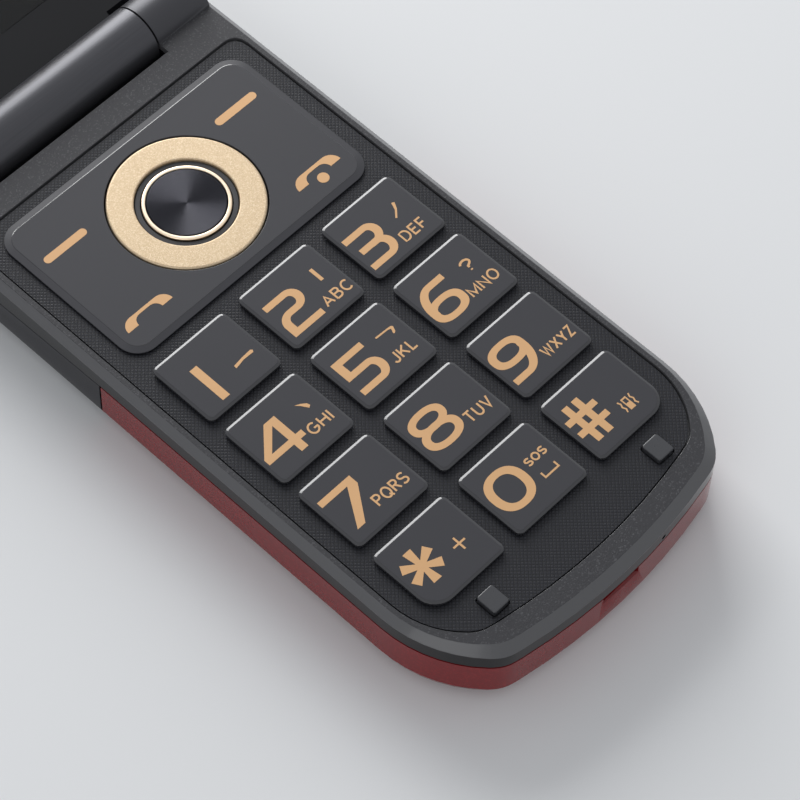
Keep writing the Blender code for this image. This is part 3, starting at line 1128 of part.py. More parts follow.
def main():
    """Make every piece of the phone."""
    for leftover in list(bpy.data.objects):
        bpy.data.objects.remove(leftover)

    case_plastic = material("case_plastic", (0.045, 0.045, 0.050), 0.45)
    gloss_plastic = material("gloss_plastic", (0.012, 0.012, 0.014), 0.15)
    panel_plastic = material("panel_plastic", (0.030, 0.031, 0.036), 0.50)
    key_plastic = material("key_plastic", (0.045, 0.045, 0.052), 0.35)
    gold = material("gold_metal", (0.72, 0.56, 0.36), 0.35, 0.9)
    dark_metal = material("dark_metal", (0.06, 0.06, 0.065), 0.25, 0.9)
    rubber = material("rubber", (0.05, 0.05, 0.055), 0.7)
    silicone = material("silicone", (0.35, 0.36, 0.38), 0.6)
    dome_film = material("dome_film", (0.55, 0.57, 0.60), 0.35, 0.3)
    board_green = material("board_green", (0.01, 0.12, 0.05), 0.4)
    red_gloss = material("red_gloss", (0.30, 0.008, 0.012), 0.12)
    battery_label = material("battery_label", (0.10, 0.10, 0.11), 0.5)
    steel = material("steel", (0.55, 0.55, 0.56), 0.3, 1.0)
    black_part = material("black_part", (0.015, 0.015, 0.017), 0.5)
    glass = material("screen_glass", (0.01, 0.01, 0.012), 0.05, 0.0, 0.35)
    screen = material("screen_panel", (0.01, 0.012, 0.018), 0.2)
    torch = material("torch_lens", (0.85, 0.82, 0.65), 0.2)
    amber_film = material("amber_film", (0.45, 0.20, 0.03), 0.35)

    make_front_case(case_plastic)
    make_panel(panel_plastic)
    make_bumpers(rubber)
    make_keys(key_plastic)
    make_function_plate(key_plastic)
    make_navigation(gold, dark_metal, rubber)
    make_mat_and_domes(silicone, dome_film)
    make_board(board_green)
    make_rear_case(gloss_plastic)
    make_battery_cover(red_gloss)
    make_battery(battery_label, steel)
    make_sim_holder(steel)
    make_base_parts(black_part, steel, steel)
    make_case_screws(steel)

    lid = pivot("lid_axis", (0.0, HINGE_Y, HINGE_Z), LID_TILT)
    make_lid_inner_case(case_plastic, lid)
    make_lid_outer_cover(red_gloss, lid)
    make_lid_screen(glass, screen, board_green, lid)
    make_lid_sound(black_part, steel, lid)
    make_lid_camera(black_part, glass, torch, lid)
    make_lid_fasteners(steel, rubber, lid)
    make_hinge(steel, amber_film, lid)


main()
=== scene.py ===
"""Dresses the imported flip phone: finer keys, printed legends, finishes, studio light and camera."""

import json
import logging
import math
from dataclasses import dataclass, field
from enum import Enum
from typing import Callable, Sequence

import bmesh
import bpy
from mathutils import Matrix, Vector

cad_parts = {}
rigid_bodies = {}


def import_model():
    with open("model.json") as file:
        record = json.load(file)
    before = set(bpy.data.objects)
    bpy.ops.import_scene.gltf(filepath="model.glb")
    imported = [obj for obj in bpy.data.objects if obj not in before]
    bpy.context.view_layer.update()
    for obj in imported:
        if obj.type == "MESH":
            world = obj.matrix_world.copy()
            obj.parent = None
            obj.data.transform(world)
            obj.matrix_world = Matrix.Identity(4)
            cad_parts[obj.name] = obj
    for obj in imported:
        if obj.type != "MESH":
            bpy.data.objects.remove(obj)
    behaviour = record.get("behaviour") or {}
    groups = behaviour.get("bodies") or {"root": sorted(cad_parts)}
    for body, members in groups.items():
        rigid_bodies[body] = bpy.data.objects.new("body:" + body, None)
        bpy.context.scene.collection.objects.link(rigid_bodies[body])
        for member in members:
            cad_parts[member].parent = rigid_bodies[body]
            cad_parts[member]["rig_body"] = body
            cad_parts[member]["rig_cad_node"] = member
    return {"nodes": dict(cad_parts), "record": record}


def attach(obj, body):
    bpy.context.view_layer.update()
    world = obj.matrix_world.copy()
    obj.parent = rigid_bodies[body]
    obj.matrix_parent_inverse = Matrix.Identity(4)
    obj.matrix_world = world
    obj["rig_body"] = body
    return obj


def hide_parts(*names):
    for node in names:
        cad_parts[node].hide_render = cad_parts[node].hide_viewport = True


MM = 0.001
TAU = 2.0 * math.pi
LOG = logging.getLogger("flip_phone")
Point = tuple[float, float]
Colour = tuple[float, float, float]
Place = tuple[float, float, float]
DIAGONAL = 0.70711
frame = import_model()


# Node trees

class Value:
    """A number in a material's node tree; arithmetic on it adds Math nodes."""

    def __init__(self, tree: "Tree", socket: bpy.types.NodeSocket) -> None:
        """Wrap an output socket of the tree."""
        self.tree = tree
        self.socket = socket

    def maths(self, operation: str, left: "Value | float", right: "Value | float" = 0.0) -> "Value":
        """Add a Math node.

        Args:
            operation: The node's operation.
            left: The first number.
            right: The second number.

        Returns:
            The node's result.
        """
        node = self.tree.add("ShaderNodeMath", {"operation": operation}, {0: left, 1: right})
        return Value(self.tree, node.outputs[0])

    def __add__(self, other: "Value | float") -> "Value":
        """Return self + other."""
        return self.maths("ADD", self, other)

    def __radd__(self, other: "Value | float") -> "Value":
        """Return other + self."""
        return self.maths("ADD", other, self)

    def __sub__(self, other: "Value | float") -> "Value":
        """Return self - other."""
        return self.maths("SUBTRACT", self, other)

    def __rsub__(self, other: "Value | float") -> "Value":
        """Return other - self."""
        return self.maths("SUBTRACT", other, self)

    def __mul__(self, other: "Value | float") -> "Value":
        """Return self * other."""
        return self.maths("MULTIPLY", self, other)

    def __rmul__(self, other: "Value | float") -> "Value":
        """Return other * self."""
        return self.maths("MULTIPLY", other, self)

    def __abs__(self) -> "Value":
        """Return the size of the number."""
        return self.maths("ABSOLUTE", self)

    def __pow__(self, power: float) -> "Value":
        """Return the number raised to a power."""
        return self.maths("POWER", self, power)

    def wave(self) -> "Value":
        """Return the number's sine."""
        return self.maths("SINE", self)

    def folded(self, pitch: float) -> "Value":
        """Return the distance to the nearest whole multiple of the pitch."""
        return self.maths("PINGPONG", self, pitch / 2.0)

    def rise(self, low: float, high: float) -> "Value":
        """Ease from 0 at one number to 1 at another.

        Args:
            low: Where the result is 0.
            high: Where the result is 1.

        Returns:
            The eased share.
        """
        node = self.tree.add("ShaderNodeMapRange", {"interpolation_type": "SMOOTHSTEP"},
                             {"Value": self, "From Min": low, "From Max": high})
        return Value(self.tree, node.outputs[0])


class Tree:
    """The node tree of one material, with its pattern coordinates in millimetres."""

    def __init__(self, name: str) -> None:
        """Start a material with one Principled shader."""
        self.material = bpy.data.materials.new(name)
        self.material.use_nodes = True
        self.graph = self.material.node_tree
        self.shader = self.graph.nodes["Principled BSDF"]
        coords = self.add("ShaderNodeTexCoord")
        scaled = self.add("ShaderNodeVectorMath", {"operation": "SCALE"},
                          {0: coords.outputs["Object"], "Scale": 1.0 / MM})
        self.point = scaled.outputs[0]
        parts = self.add("ShaderNodeSeparateXYZ", values={0: self.point})
        self.x, self.y, self.z = (Value(self, socket) for socket in parts.outputs)

    def add(self, kind: str, settings: dict | None = None, values: dict | None = None) -> bpy.types.Node:
        """Add a node.

        Args:
            kind: The node's type.
            settings: Attributes that are set first; "stops" are a ramp's places and colours.
            values: Numbers, colours or links for the node's sockets.

        Returns:
            The new node.
        """
        node = self.graph.nodes.new(kind)
        for name, setting in (settings or {}).items():
            if name == "stops":
                ramp = node.color_ramp
                while len(ramp.elements) < len(setting):
                    ramp.elements.new(1.0)
                for element, (place, colour) in zip(ramp.elements, setting):
                    element.position = place
                    element.color = (*colour, 1.0)
            else:
                setattr(node, name, setting)
        for name, value in (values or {}).items():
            self.feed(node.inputs[name], value)
        return node

    def feed(self, socket: bpy.types.NodeSocket, value: object) -> None:
        """Set a socket to a number or colour, or link it.

        Args:
            socket: The node's input.
            value: A Value or a socket to link, or a plain setting.
        """
        if isinstance(value, Value):
            self.graph.links.new(value.socket, socket)
        elif isinstance(value, bpy.types.NodeSocket):
            self.graph.links.new(value, socket)
        elif isinstance(value, tuple) and socket.type == "RGBA":
            socket.default_value = (*value, 1.0)
        else:
            socket.default_value = value

    def noise(self, per_mm: float, detail: float = 2.0, vector: object = None) -> Value:
        """Return even noise.

        Args:
            per_mm: How many lumps lie along a millimetre.
            detail: Octaves of finer noise.
            vector: Coordinates in millimetres other than the plain ones.

        Returns:
            A number round 0.5.
        """
        node = self.add("ShaderNodeTexNoise", values={"Vector": vector or self.point, "Scale": per_mm,
                                                      "Detail": detail})
        return Value(self, node.outputs["Fac"])

    def stretched(self, scale: Place, turn: Place = (0.0, 0.0, 0.0)) -> bpy.types.NodeSocket:
        """Turn and scale the coordinates.

        Args:
            scale: The factor along each axis.
            turn: The turn about each axis, in radians.

        Returns:
            The new coordinates' socket.
        """
        node = self.add("ShaderNodeMapping", {"vector_type": "POINT"},
                        {"Vector": self.point, "Rotation": turn, "Scale": scale})
        return node.outputs[0]

    def cells(self, per_mm: float) -> Value:
        """Scatter random numbers.

        Args:
            per_mm: How many cells lie along a millimetre.

        Returns:
            A number from 0 to 1, the same all over a cell.
        """
        node = self.add("ShaderNodeTexVoronoi", values={"Vector": self.point, "Scale": per_mm})
        parts = self.add("ShaderNodeSeparateColor", values={0: node.outputs["Color"]})
        return Value(self, parts.outputs[0])

    def blend(self, share: Value, low: object, high: object) -> bpy.types.NodeSocket:
        """Mix two colours.

        Args:
            share: How much of the second colour shows.
            low: The first colour.
            high: The second colour.

        Returns:
            The mixed colour's socket.
        """
        node = self.add("ShaderNodeMix", {"data_type": "RGBA"}, {0: share, 6: low, 7: high})
        return node.outputs[2]

    def bump(self, height: Value, depth_mm: float, under: object = None) -> bpy.types.NodeSocket:
        """Turn a height into a normal.

        Args:
            height: The height, from 0 to 1.
            depth_mm: What a height of 1 stands for.
            under: A normal to build on.

        Returns:
            The normal's socket.
        """
        values = {"Strength": 1.0, "Distance": depth_mm * MM, "Height": height}
        if under is not None:
            values["Normal"] = under
        return self.add("ShaderNodeBump", values=values).outputs[0]

    def dress(self, **values: object) -> bpy.types.Material:
        """Feed the shader.

        Args:
            values: What goes into each socket, named with underscores for spaces.

        Returns:
            The finished material.
        """
        for name, value in values.items():
            self.feed(self.shader.inputs[name.replace("_", " ").title().replace("Ior", "IOR")], value)
        return self.material


# Finishes

@dataclass(frozen=True)
class Finish:
    """A surface finish that can be laid on any piece."""

    name: str
    slot: str
    colour: Colour = (0.03, 0.03, 0.033)
    roughness: float = 0.4

    def paint(self, tree: Tree) -> bpy.types.Material:
        """Build the finish in a tree and return its material."""
        raise NotImplementedError

    def material(self) -> bpy.types.Material:
        """Return the finish's one material, made when it is first asked for."""
        return bpy.data.materials.get(self.name) or self.paint(Tree(self.name))


@dataclass(frozen=True)
class Moulding(Finish):
    """Moulded plastic or rubber with fine grain and a slow drift in its shade."""

    grain_per_mm: float = 6.0
    grain_depth: float = 0.004
    coat: float = 0.0
    drift: float = 0.12
    metallic: float = 0.0

    def paint(self, tree: Tree) -> bpy.types.Material:
        """Build the finish in a tree and return its material."""
        slow = tree.noise(0.09)
        grain = tree.noise(self.grain_per_mm, 3.0)
        low = tuple(part * (1.0 - self.drift) for part in self.colour)
        high = tuple(part * (1.0 + self.drift) for part in self.colour)
        return tree.dress(base_color=tree.blend(slow, low, high),
                          roughness=grain * 0.12 + (self.roughness - 0.06), metallic=self.metallic,
                          coat_weight=self.coat, coat_roughness=0.06,
                          normal=tree.bump(grain, self.grain_depth))


@dataclass(frozen=True)
class CasePlastic(Finish):
    """The upper case: sanded deck, smooth chamfer and knuckles, polished wall."""

    deck_z: float = 12.4
    chamfer_z: float = 11.35
    knuckle_y: float = 44.5
    knuckle_z: float = 12.5
    sand_per_mm: float = 4.2
    sand_depth: float = 0.045
    bump_depth: float = 0.03
    sand_colour: Colour = (0.031, 0.031, 0.035)
    knuckle_colour: Colour = (0.06, 0.06, 0.066)
    wall_colour: Colour = (0.006, 0.006, 0.007)

    def paint(self, tree: Tree) -> bpy.types.Material:
        """Build the finish in a tree and return its material."""
        knuckle = (tree.y.rise(self.knuckle_y, self.knuckle_y + 1.0)
                   * tree.z.rise(self.knuckle_z - 0.08, self.knuckle_z))
        deck = (tree.z.rise(self.deck_z - 0.010, self.deck_z - 0.003)
                * (1.0 - tree.z.rise(self.knuckle_z - 0.06, self.knuckle_z)))
        polished = 1.0 - tree.z.rise(self.chamfer_z - 0.12, self.chamfer_z - 0.04)
        sand = tree.noise(self.sand_per_mm, 4.0)
        speck = tree.cells(self.sand_per_mm * 1.3).rise(0.82, 0.98)
        fine = tree.noise(9.0, 2.0)
        grey = tree.blend(deck, self.colour, self.sand_colour)
        lit = tree.blend(speck * deck * 0.5, grey, (0.10, 0.10, 0.108))
        worn = tree.blend(knuckle, lit, self.knuckle_colour)
        shade = tree.blend(polished, worn, self.wall_colour)
        rough = (0.34 + fine * 0.06) * (1.0 - polished) + 0.09 * polished + deck * 0.14
        height = sand * deck * (self.sand_depth / self.bump_depth) + fine * 0.05
        edge = (1.0 - polished) * (1.0 - deck) * (1.0 - knuckle)
        return tree.dress(base_color=shade, roughness=rough, normal=tree.bump(height, self.bump_depth),
                          metallic=knuckle * 0.5, coat_weight=edge * 0.6, coat_roughness=0.12,
                          specular_ior_level=0.3)


@dataclass(frozen=True)
class SquareGrid(Finish):
    """The keypad panel: rows of tiny raised squares that stand on their corners."""

    pitch: float = 0.48
    line: float = 0.11
    lift: float = 0.02
    square_colour: Colour = (0.021, 0.022, 0.028)

    def paint(self, tree: Tree) -> bpy.types.Material:
        """Build the finish in a tree and return its material."""
        along = ((tree.x + tree.y) * DIAGONAL).folded(self.pitch)
        across = ((tree.x - tree.y) * DIAGONAL).folded(self.pitch)
        square = along.rise(self.line * 0.4, self.line) * across.rise(self.line * 0.4, self.line)
        slow = tree.noise(0.05)
        shade = tree.blend(square, self.colour, self.square_colour)
        return tree.dress(base_color=tree.blend(slow * 0.3, shade, (0.014, 0.015, 0.018)),
                          roughness=0.5 - square * 0.2, normal=tree.bump(square, self.lift),
                          specular_ior_level=0.25)


@dataclass(frozen=True)
class SilkKey(Finish):
    """The keys' silky dark plastic under a thin coat, with painted shade that makes the skirt a little
    darker.
    """

    face_z: float = 13.05
    drop: float = 0.03
    gloss_low: float = 12.0

    def paint(self, tree: Tree) -> bpy.types.Material:
        """Build the finish in a tree and return its material."""
        grain = tree.noise(7.0, 3.0)
        smear = tree.noise(0.16, 4.0, tree.stretched((1.0, 0.35, 1.0), (0.0, 0.0, 0.6)))
        skirt = tree.z.rise(self.gloss_low - 0.01, self.gloss_low) * (1.0 - tree.z.rise(
            self.face_z - self.drop, self.face_z - 0.002))
        # Painted shade: the skirt's colour is scaled to 0.55 and blended in at 0.7, so the sloping edge and
        # sides look shaded.
        dark = tuple(part * 0.55 for part in self.colour)
        return tree.dress(base_color=tree.blend(skirt * 0.7, self.colour, dark),
                          roughness=(self.roughness + smear * 0.08 + grain * 0.05) * (1.0 - skirt * 0.6),
                          normal=tree.bump(grain * (1.0 - skirt), 0.002), specular_ior_level=0.28,
                          coat_weight=skirt * 0.7, coat_roughness=0.08)


@dataclass(frozen=True)
class SparkleGold(Finish):
    """Champagne-gold paint with metal flakes in it, for the navigation ring."""

    flake_per_mm: float = 7.0
    bright: Colour = (0.72, 0.60, 0.43)
    deep: Colour = (0.40, 0.29, 0.17)

    def paint(self, tree: Tree) -> bpy.types.Material:
        """Build the finish in a tree and return its material."""
        flake = tree.cells(self.flake_per_mm)
        fine = tree.noise(5.0, 3.0)
        base = tree.blend(flake.rise(0.55, 1.0) * 0.55, self.colour, self.bright)
        shade = tree.blend(flake.rise(0.35, 0.0) * 0.35, base, self.deep)
        return tree.dress(base_color=shade, roughness=self.roughness + fine * 0.14, metallic=0.55,
                          normal=tree.bump(flake * 0.6 + fine * 0.4, 0.012),
                          coat_weight=0.15, coat_roughness=0.2)


@dataclass(frozen=True)
class TurnedMetal(Finish):
    """Metal turned on a lathe: fine rings about an upright axis."""

    centre: Point = (0.0, 25.15)
    pitch: float = 0.13
    depth: float = 0.014
    metallic: float = 1.0

    def paint(self, tree: Tree) -> bpy.types.Material:
        """Build the finish in a tree and return its material."""
        away_x = tree.x - self.centre[0]
        away_y = tree.y - self.centre[1]
        radius = (away_x * away_x + away_y * away_y) ** 0.5
        groove = (radius * (TAU / self.pitch)).wave() * 0.5 + 0.5
        ragged = tree.noise(9.0, 2.0)
        light = tuple(min(1.0, part * 1.3) for part in self.colour)
        return tree.dress(base_color=tree.blend(ragged, self.colour, light),
                          roughness=self.roughness + ragged * 0.05, metallic=self.metallic,
                          normal=tree.bump(groove + ragged * 0.15, self.depth))


@dataclass(frozen=True)
class BrushedMetal(Finish):
    """Metal brushed along the hinge line, plain or painted."""

    metallic: float = 1.0
    depth: float = 0.003

    def paint(self, tree: Tree) -> bpy.types.Material:
        """Build the finish in a tree and return its material."""
        streak = tree.noise(5.0, 3.0, tree.stretched((0.06, 1.0, 1.0)))
        slow = tree.noise(0.12)
        light = tuple(min(1.0, part * 1.25) for part in self.colour)
        return tree.dress(base_color=tree.blend(slow, self.colour, light),
                          roughness=self.roughness + streak * 0.1, metallic=self.metallic,
                          normal=tree.bump(streak, self.depth))


@dataclass(frozen=True)
class HingeSatin(Finish):
    """The lid's satin plastic: a silky barrel and a darker face."""

    axis_y: float = 52.0
    axis_z: float = 10.85
    barrel: float = 4.7

    def paint(self, tree: Tree) -> bpy.types.Material:
        """Build the finish in a tree and return its material."""
        away_y = tree.y - self.axis_y
        away_z = tree.z - self.axis_z
        away = (away_y * away_y + away_z * away_z) ** 0.5
        barrel = 1.0 - away.rise(self.barrel, self.barrel + 0.3)
        grain = tree.noise(5.5, 3.0)
        slow = tree.noise(0.07)
        streak = tree.noise(4.0, 2.0, tree.stretched((0.03, 1.0, 1.0)))
        satin = tree.blend(streak * 0.5, self.colour, (0.10, 0.10, 0.11))
        shade = tree.blend(barrel, tree.blend(slow, (0.009, 0.009, 0.010), (0.013, 0.013, 0.015)), satin)
        return tree.dress(base_color=shade, roughness=self.roughness + grain * 0.08 - (1.0 - barrel) * 0.1,
                          metallic=barrel * 0.55, normal=tree.bump(grain * barrel, 0.006),
                          specular_ior_level=0.3)


@dataclass(frozen=True)
class DeepGloss(Finish):
    """Lacquer over a tinted ground with fine flakes, polished, with a trace of orange peel."""

    flake_per_mm: float = 4.0
    flake_share: float = 0.25
    bright: Colour = (0.45, 0.012, 0.014)
    metallic: float = 0.0

    def paint(self, tree: Tree) -> bpy.types.Material:
        """Build the finish in a tree and return its material."""
        flake = tree.cells(self.flake_per_mm).rise(0.6, 1.0)
        slow = tree.noise(0.05)
        peel = tree.noise(0.5, 1.0)
        base = tree.blend(flake * self.flake_share, self.colour, self.bright)
        deep = tuple(part * 0.72 for part in self.colour)
        return tree.dress(base_color=tree.blend(slow * 0.5, base, deep), metallic=self.metallic,
                          roughness=self.roughness + slow * 0.05, normal=tree.bump(peel, 0.004),
                          coat_weight=0.3, coat_roughness=0.06, specular_ior_level=0.2)


@dataclass(frozen=True)
class ScreenGlass(Finish):
    """Black-backed glass with a darker blue window over the display, on the tilted lid."""

    tilt: float = 20.0
    axis_y: float = 52.0
    axis_z: float = 10.85
    window_start: float = 27.0
    window_end: float = 89.0
    window_half_width: float = 21.4

    def paint(self, tree: Tree) -> bpy.types.Material:
        """Build the finish in a tree and return its material."""
        turn = math.radians(self.tilt)
        along = (tree.y - self.axis_y) * math.cos(turn) + (tree.z - self.axis_z) * math.sin(turn)
        inside = (along.rise(self.window_start, self.window_start + 0.08)
                  * (1.0 - along.rise(self.window_end - 0.08, self.window_end))
                  * (1.0 - abs(tree.x).rise(self.window_half_width - 0.08, self.window_half_width)))
        smear = tree.noise(0.07, 4.0)
        return tree.dress(base_color=tree.blend(inside, self.colour, (0.012, 0.015, 0.022)),
                          roughness=self.roughness + smear * 0.05, coat_weight=1.0, coat_roughness=0.02,
                          normal=tree.bump(tree.noise(0.3, 1.0), 0.001))


@dataclass(frozen=True)
class PrintedInk(Finish):
    """Copper-gold ink of the legends."""

    def paint(self, tree: Tree) -> bpy.types.Material:
        """Build the finish in a tree and return its material."""
        grain = tree.noise(6.0, 2.0)
        slow = tree.noise(0.2)
        low = tuple(part * 0.93 for part in self.colour)
        return tree.dress(base_color=tree.blend(slow, low, self.colour), metallic=0.15,
                          roughness=self.roughness + grain * 0.08, normal=tree.bump(grain, 0.002))


@dataclass(frozen=True)
class CircuitBoard(Finish):
    """Solder mask over copper tracks, with bare gold pads in places."""

    pitch: float = 1.1

    def paint(self, tree: Tree) -> bpy.types.Material:
        """Build the finish in a tree and return its material."""
        wander = tree.noise(0.35, 0.0)
        track = (tree.x + wander * 6.0).folded(self.pitch).rise(0.16, 0.22)
        cross = (tree.y + wander * 4.0).folded(self.pitch * 2.3).rise(0.2, 0.26)
        pads = tree.cells(0.55).rise(0.86, 0.9)
        copper = 1.0 - track * cross
        light = tuple(part * 2.0 for part in self.colour)
        mask = tree.blend(copper, self.colour, light)
        return tree.dress(base_color=tree.blend(pads, mask, (0.75, 0.55, 0.25)), metallic=pads * 0.9,
                          roughness=0.35 - pads * 0.1, normal=tree.bump(copper, 0.02))


@dataclass(frozen=True)
class BatteryWrap(Finish):
    """Dark wrap over the cell with a pale band and seams near its ends."""

    band_y: float = -25.0
    band_half: float = 14.0
    seam_away: float = 22.0

    def paint(self, tree: Tree) -> bpy.types.Material:
        """Build the finish in a tree and return its material."""
        away = abs(tree.y - self.band_y)
        band = 1.0 - away.rise(self.band_half, self.band_half + 0.1)
        seam = 1.0 - (away - self.seam_away).folded(50.0).rise(0.0, 0.12)
        wrinkle = tree.noise(0.4, 3.0)
        base = tree.blend(band, self.colour, (0.35, 0.36, 0.38))
        return tree.dress(base_color=tree.blend(seam, base, (0.02, 0.02, 0.02)), metallic=0.3,
                          roughness=0.38 + wrinkle * 0.1, normal=tree.bump(wrinkle, 0.03))


@dataclass(frozen=True)
class DomeFilm(Finish):
    """Milky film over round metal switch domes."""

    pitch_x: float = 16.0
    pitch_y: float = 13.56
    first_y: float = 3.0
    dome: float = 2.0

    def paint(self, tree: Tree) -> bpy.types.Material:
        """Build the finish in a tree and return its material."""
        away_x = tree.x.folded(self.pitch_x)
        away_y = (tree.y - self.first_y).folded(self.pitch_y)
        away = (away_x * away_x + away_y * away_y) ** 0.5
        dome = 1.0 - away.rise(self.dome - 0.1, self.dome + 0.1)
        grain = tree.noise(3.0, 3.0)
        return tree.dress(base_color=tree.blend(dome, self.colour, (0.75, 0.75, 0.76)), metallic=dome * 0.8,
                          roughness=0.42 - dome * 0.15, normal=tree.bump(grain, 0.004))


CASE = CasePlastic("case_plastic", "case", (0.080, 0.080, 0.085))
SATIN = HingeSatin("lid_satin", "case", (0.060, 0.060, 0.066), 0.28)
GRID = SquareGrid("panel_grid", "panel", (0.006, 0.006, 0.008))
KEY = SilkKey("key_silk", "keys", (0.040, 0.040, 0.046), 0.36)
PLATE = SilkKey("plate_silk", "keys", (0.042, 0.042, 0.048), 0.38, 12.75, 0.012, 12.70)
GOLD = SparkleGold("ring_gold", "gold", (0.57, 0.435, 0.280), 0.38)
PALE_GOLD = BrushedMetal("rim_gold", "gold", (0.80, 0.66, 0.50), 0.26)
SPUN = TurnedMetal("spun_disc", "dark_metal", (0.022, 0.022, 0.026), 0.22)
INK = PrintedInk("legend_ink", "gold", (0.66, 0.385, 0.180), 0.42)
WALL_GLOSS = DeepGloss("black_gloss", "black_gloss", (0.008, 0.008, 0.009), 0.12, 4.0, 0.1,
                       (0.03, 0.03, 0.033))
RED_GLOSS = DeepGloss("red_lacquer", "red_gloss", (0.19, 0.004, 0.006), 0.16)
GLASS = ScreenGlass("screen_glass", "screen_glass", (0.006, 0.006, 0.007), 0.03)
RUBBER = Moulding("soft_rubber", "rubber", (0.030, 0.030, 0.033), 0.62, 5.0, 0.010)
BUMPER = Moulding("clear_bumper", "rubber", (0.040, 0.041, 0.046), 0.30, 3.0, 0.006, 0.1)
SILICONE = Moulding("mat_silicone", "silicone", (0.33, 0.34, 0.36), 0.55, 3.0, 0.008)
FILM = DomeFilm("dome_film", "dome_film", (0.52, 0.54, 0.57), 0.4)
BOARD = CircuitBoard("solder_mask", "board", (0.008, 0.085, 0.035))
WRAP = BatteryWrap("battery_wrap", "battery_wrap", (0.07, 0.07, 0.078))
STEEL = BrushedMetal("bright_steel", "steel", (0.52, 0.52, 0.53), 0.26)
BLACK_PART = Moulding("black_moulding", "black_part", (0.015, 0.015, 0.017), 0.48)
SCREEN = Moulding("dark_screen", "screen", (0.010, 0.012, 0.018), 0.18, 8.0, 0.001, 0.8)
LENS = Moulding("torch_lens", "torch_lens", (0.82, 0.78, 0.58), 0.20, 4.0, 0.004, 0.8)
AMBER = Moulding("amber_film", "amber_film", (0.42, 0.19, 0.03), 0.30, 6.0, 0.002, 0.5)
BLACK_GLASS = DeepGloss("camera_glass", "screen_glass", (0.006, 0.006, 0.008), 0.04, 4.0, 0.0)


# Modelling

class Part(Enum):
    """What is chosen in edit mode."""

    POINT = "VERT"
    EDGE = "EDGE"
    FACE = "FACE"


def one_selected(piece: bpy.types.Object) -> None:
    """Leave only this object selected, and active."""
    for other in bpy.context.view_layer.objects:
        other.select_set(False)
    piece.select_set(True)
    bpy.context.view_layer.objects.active = piece


class Bench:
    """Holds one object in edit mode while it is shaped."""

    def __init__(self, piece: bpy.types.Object) -> None:
        """Remember the object to shape."""
        self.piece = piece

    def __enter__(self) -> "Bench":
        """Enter edit mode."""
        one_selected(self.piece)
        bpy.ops.object.mode_set(mode="EDIT")
        return self

    def __exit__(self, *_: object) -> None:
        """Leave edit mode."""
        bpy.ops.object.mode_set(mode="OBJECT")

    def choose(self, part: Part, test: Callable[[object], bool]) -> int:
        """Select points, edges or faces.

        Args:
            part: Which of the three is chosen.
            test: Says of one element whether it is wanted.

        Returns:
            How many were chosen.
        """
        bpy.ops.mesh.select_mode(type=part.value)
        bpy.ops.mesh.select_all(action="DESELECT")
        mesh = bmesh.from_edit_mesh(self.piece.data)
        elements = {Part.POINT: mesh.verts, Part.EDGE: mesh.edges, Part.FACE: mesh.faces}[part]
        wanted = [element for element in elements if test(element)]
        for element in wanted:
            element.select_set(True)
        mesh.select_flush_mode()
        bmesh.update_edit_mesh(self.piece.data)
        return len(wanted)

    def everything(self) -> None:
        """Select the whole mesh."""
        bpy.ops.mesh.select_all(action="SELECT")

    def size(self, x: float, y: float, z: float = 1.0) -> None:
        """Scale the selection about the origin; the factors are in millimetres for a unit primitive."""
        bpy.ops.transform.resize(value=(x * MM, y * MM, z * MM), center_override=(0.0, 0.0, 0.0))

    def shift(self, x: float, y: float, z: float) -> None:
        """Move the selection by millimetres."""
        bpy.ops.transform.translate(value=(x * MM, y * MM, z * MM))

    def raise_by(self, height: float) -> None:
        """Extrude the selection upwards, or downwards where the height is negative."""
        bpy.ops.mesh.extrude_region_move(TRANSFORM_OT_translate={"value": (0.0, 0.0, height * MM)})

    def inset(self, width: float, depth: float = 0.0) -> None:
        """Inset the chosen faces by a width in millimetres."""
        bpy.ops.mesh.inset(thickness=width * MM, depth=depth * MM, use_even_offset=True)

    def shrink(self, across: float, along: float) -> None:
        """Draw a smaller copy of the chosen face inside it, scaled by two factors about the upright axis."""
        bpy.ops.mesh.extrude_region_move(TRANSFORM_OT_translate={"value": (0.0, 0.0, 0.0)})
        bpy.ops.transform.resize(value=(across, along, 1.0), center_override=(0.0, 0.0, 0.0))

    def bevel(self, width: float, steps: int, corners: bool = False) -> None:
        """Round the chosen edges, or corners of a flat face."""
        bpy.ops.mesh.bevel(offset=width * MM, segments=steps, profile=0.5, clamp_overlap=True,
                           affect="VERTICES" if corners else "EDGES")

    def foot(self, width: float, length: float, corner: float, steps: int, centre: Point,
             low: float, neck_low: float) -> None:
        """Put a flange under a closed neck: a wider plate, bridged to the neck's lower rim.

        Args:
            width: The flange's width.
            length: The flange's length.
            corner: The radius of its corners.
            steps: How many facets each corner has, as the neck's have.
            centre: The flange's middle.
            low: The flange's underside.
            neck_low: Where the neck meets the flange.
        """
        bpy.ops.mesh.primitive_plane_add(size=1.0, location=(0.0, 0.0, 0.0))
        self.size(width, length)
        self.shift(centre[0], centre[1], low)
        self.choose(Part.POINT, lambda point: abs(point.co.z / MM - low) < 0.01)
        self.bevel(corner, steps, corners=True)
        self.choose(Part.FACE, lambda face: at_level(face, low))
        self.raise_by(neck_low - low)
        self.choose(Part.FACE, lambda face: at_level(face, neck_low))
        bpy.ops.mesh.delete(type="FACE")
        self.choose(Part.EDGE, lambda edge: at_level(edge, neck_low))
        bpy.ops.mesh.bridge_edge_loops()
        self.weld()

    def weld(self) -> None:
        """Merge doubles and turn every face outwards."""
        self.everything()
        bpy.ops.mesh.remove_doubles(threshold=0.002 * MM)
        bpy.ops.mesh.normals_make_consistent(inside=False)


def at_level(element: object, level: float, slack: float = 0.01) -> bool:
    """Say whether all points of an edge or face lie at a height in millimetres."""
    return all(abs(point.co.z / MM - level) < slack for point in element.verts)


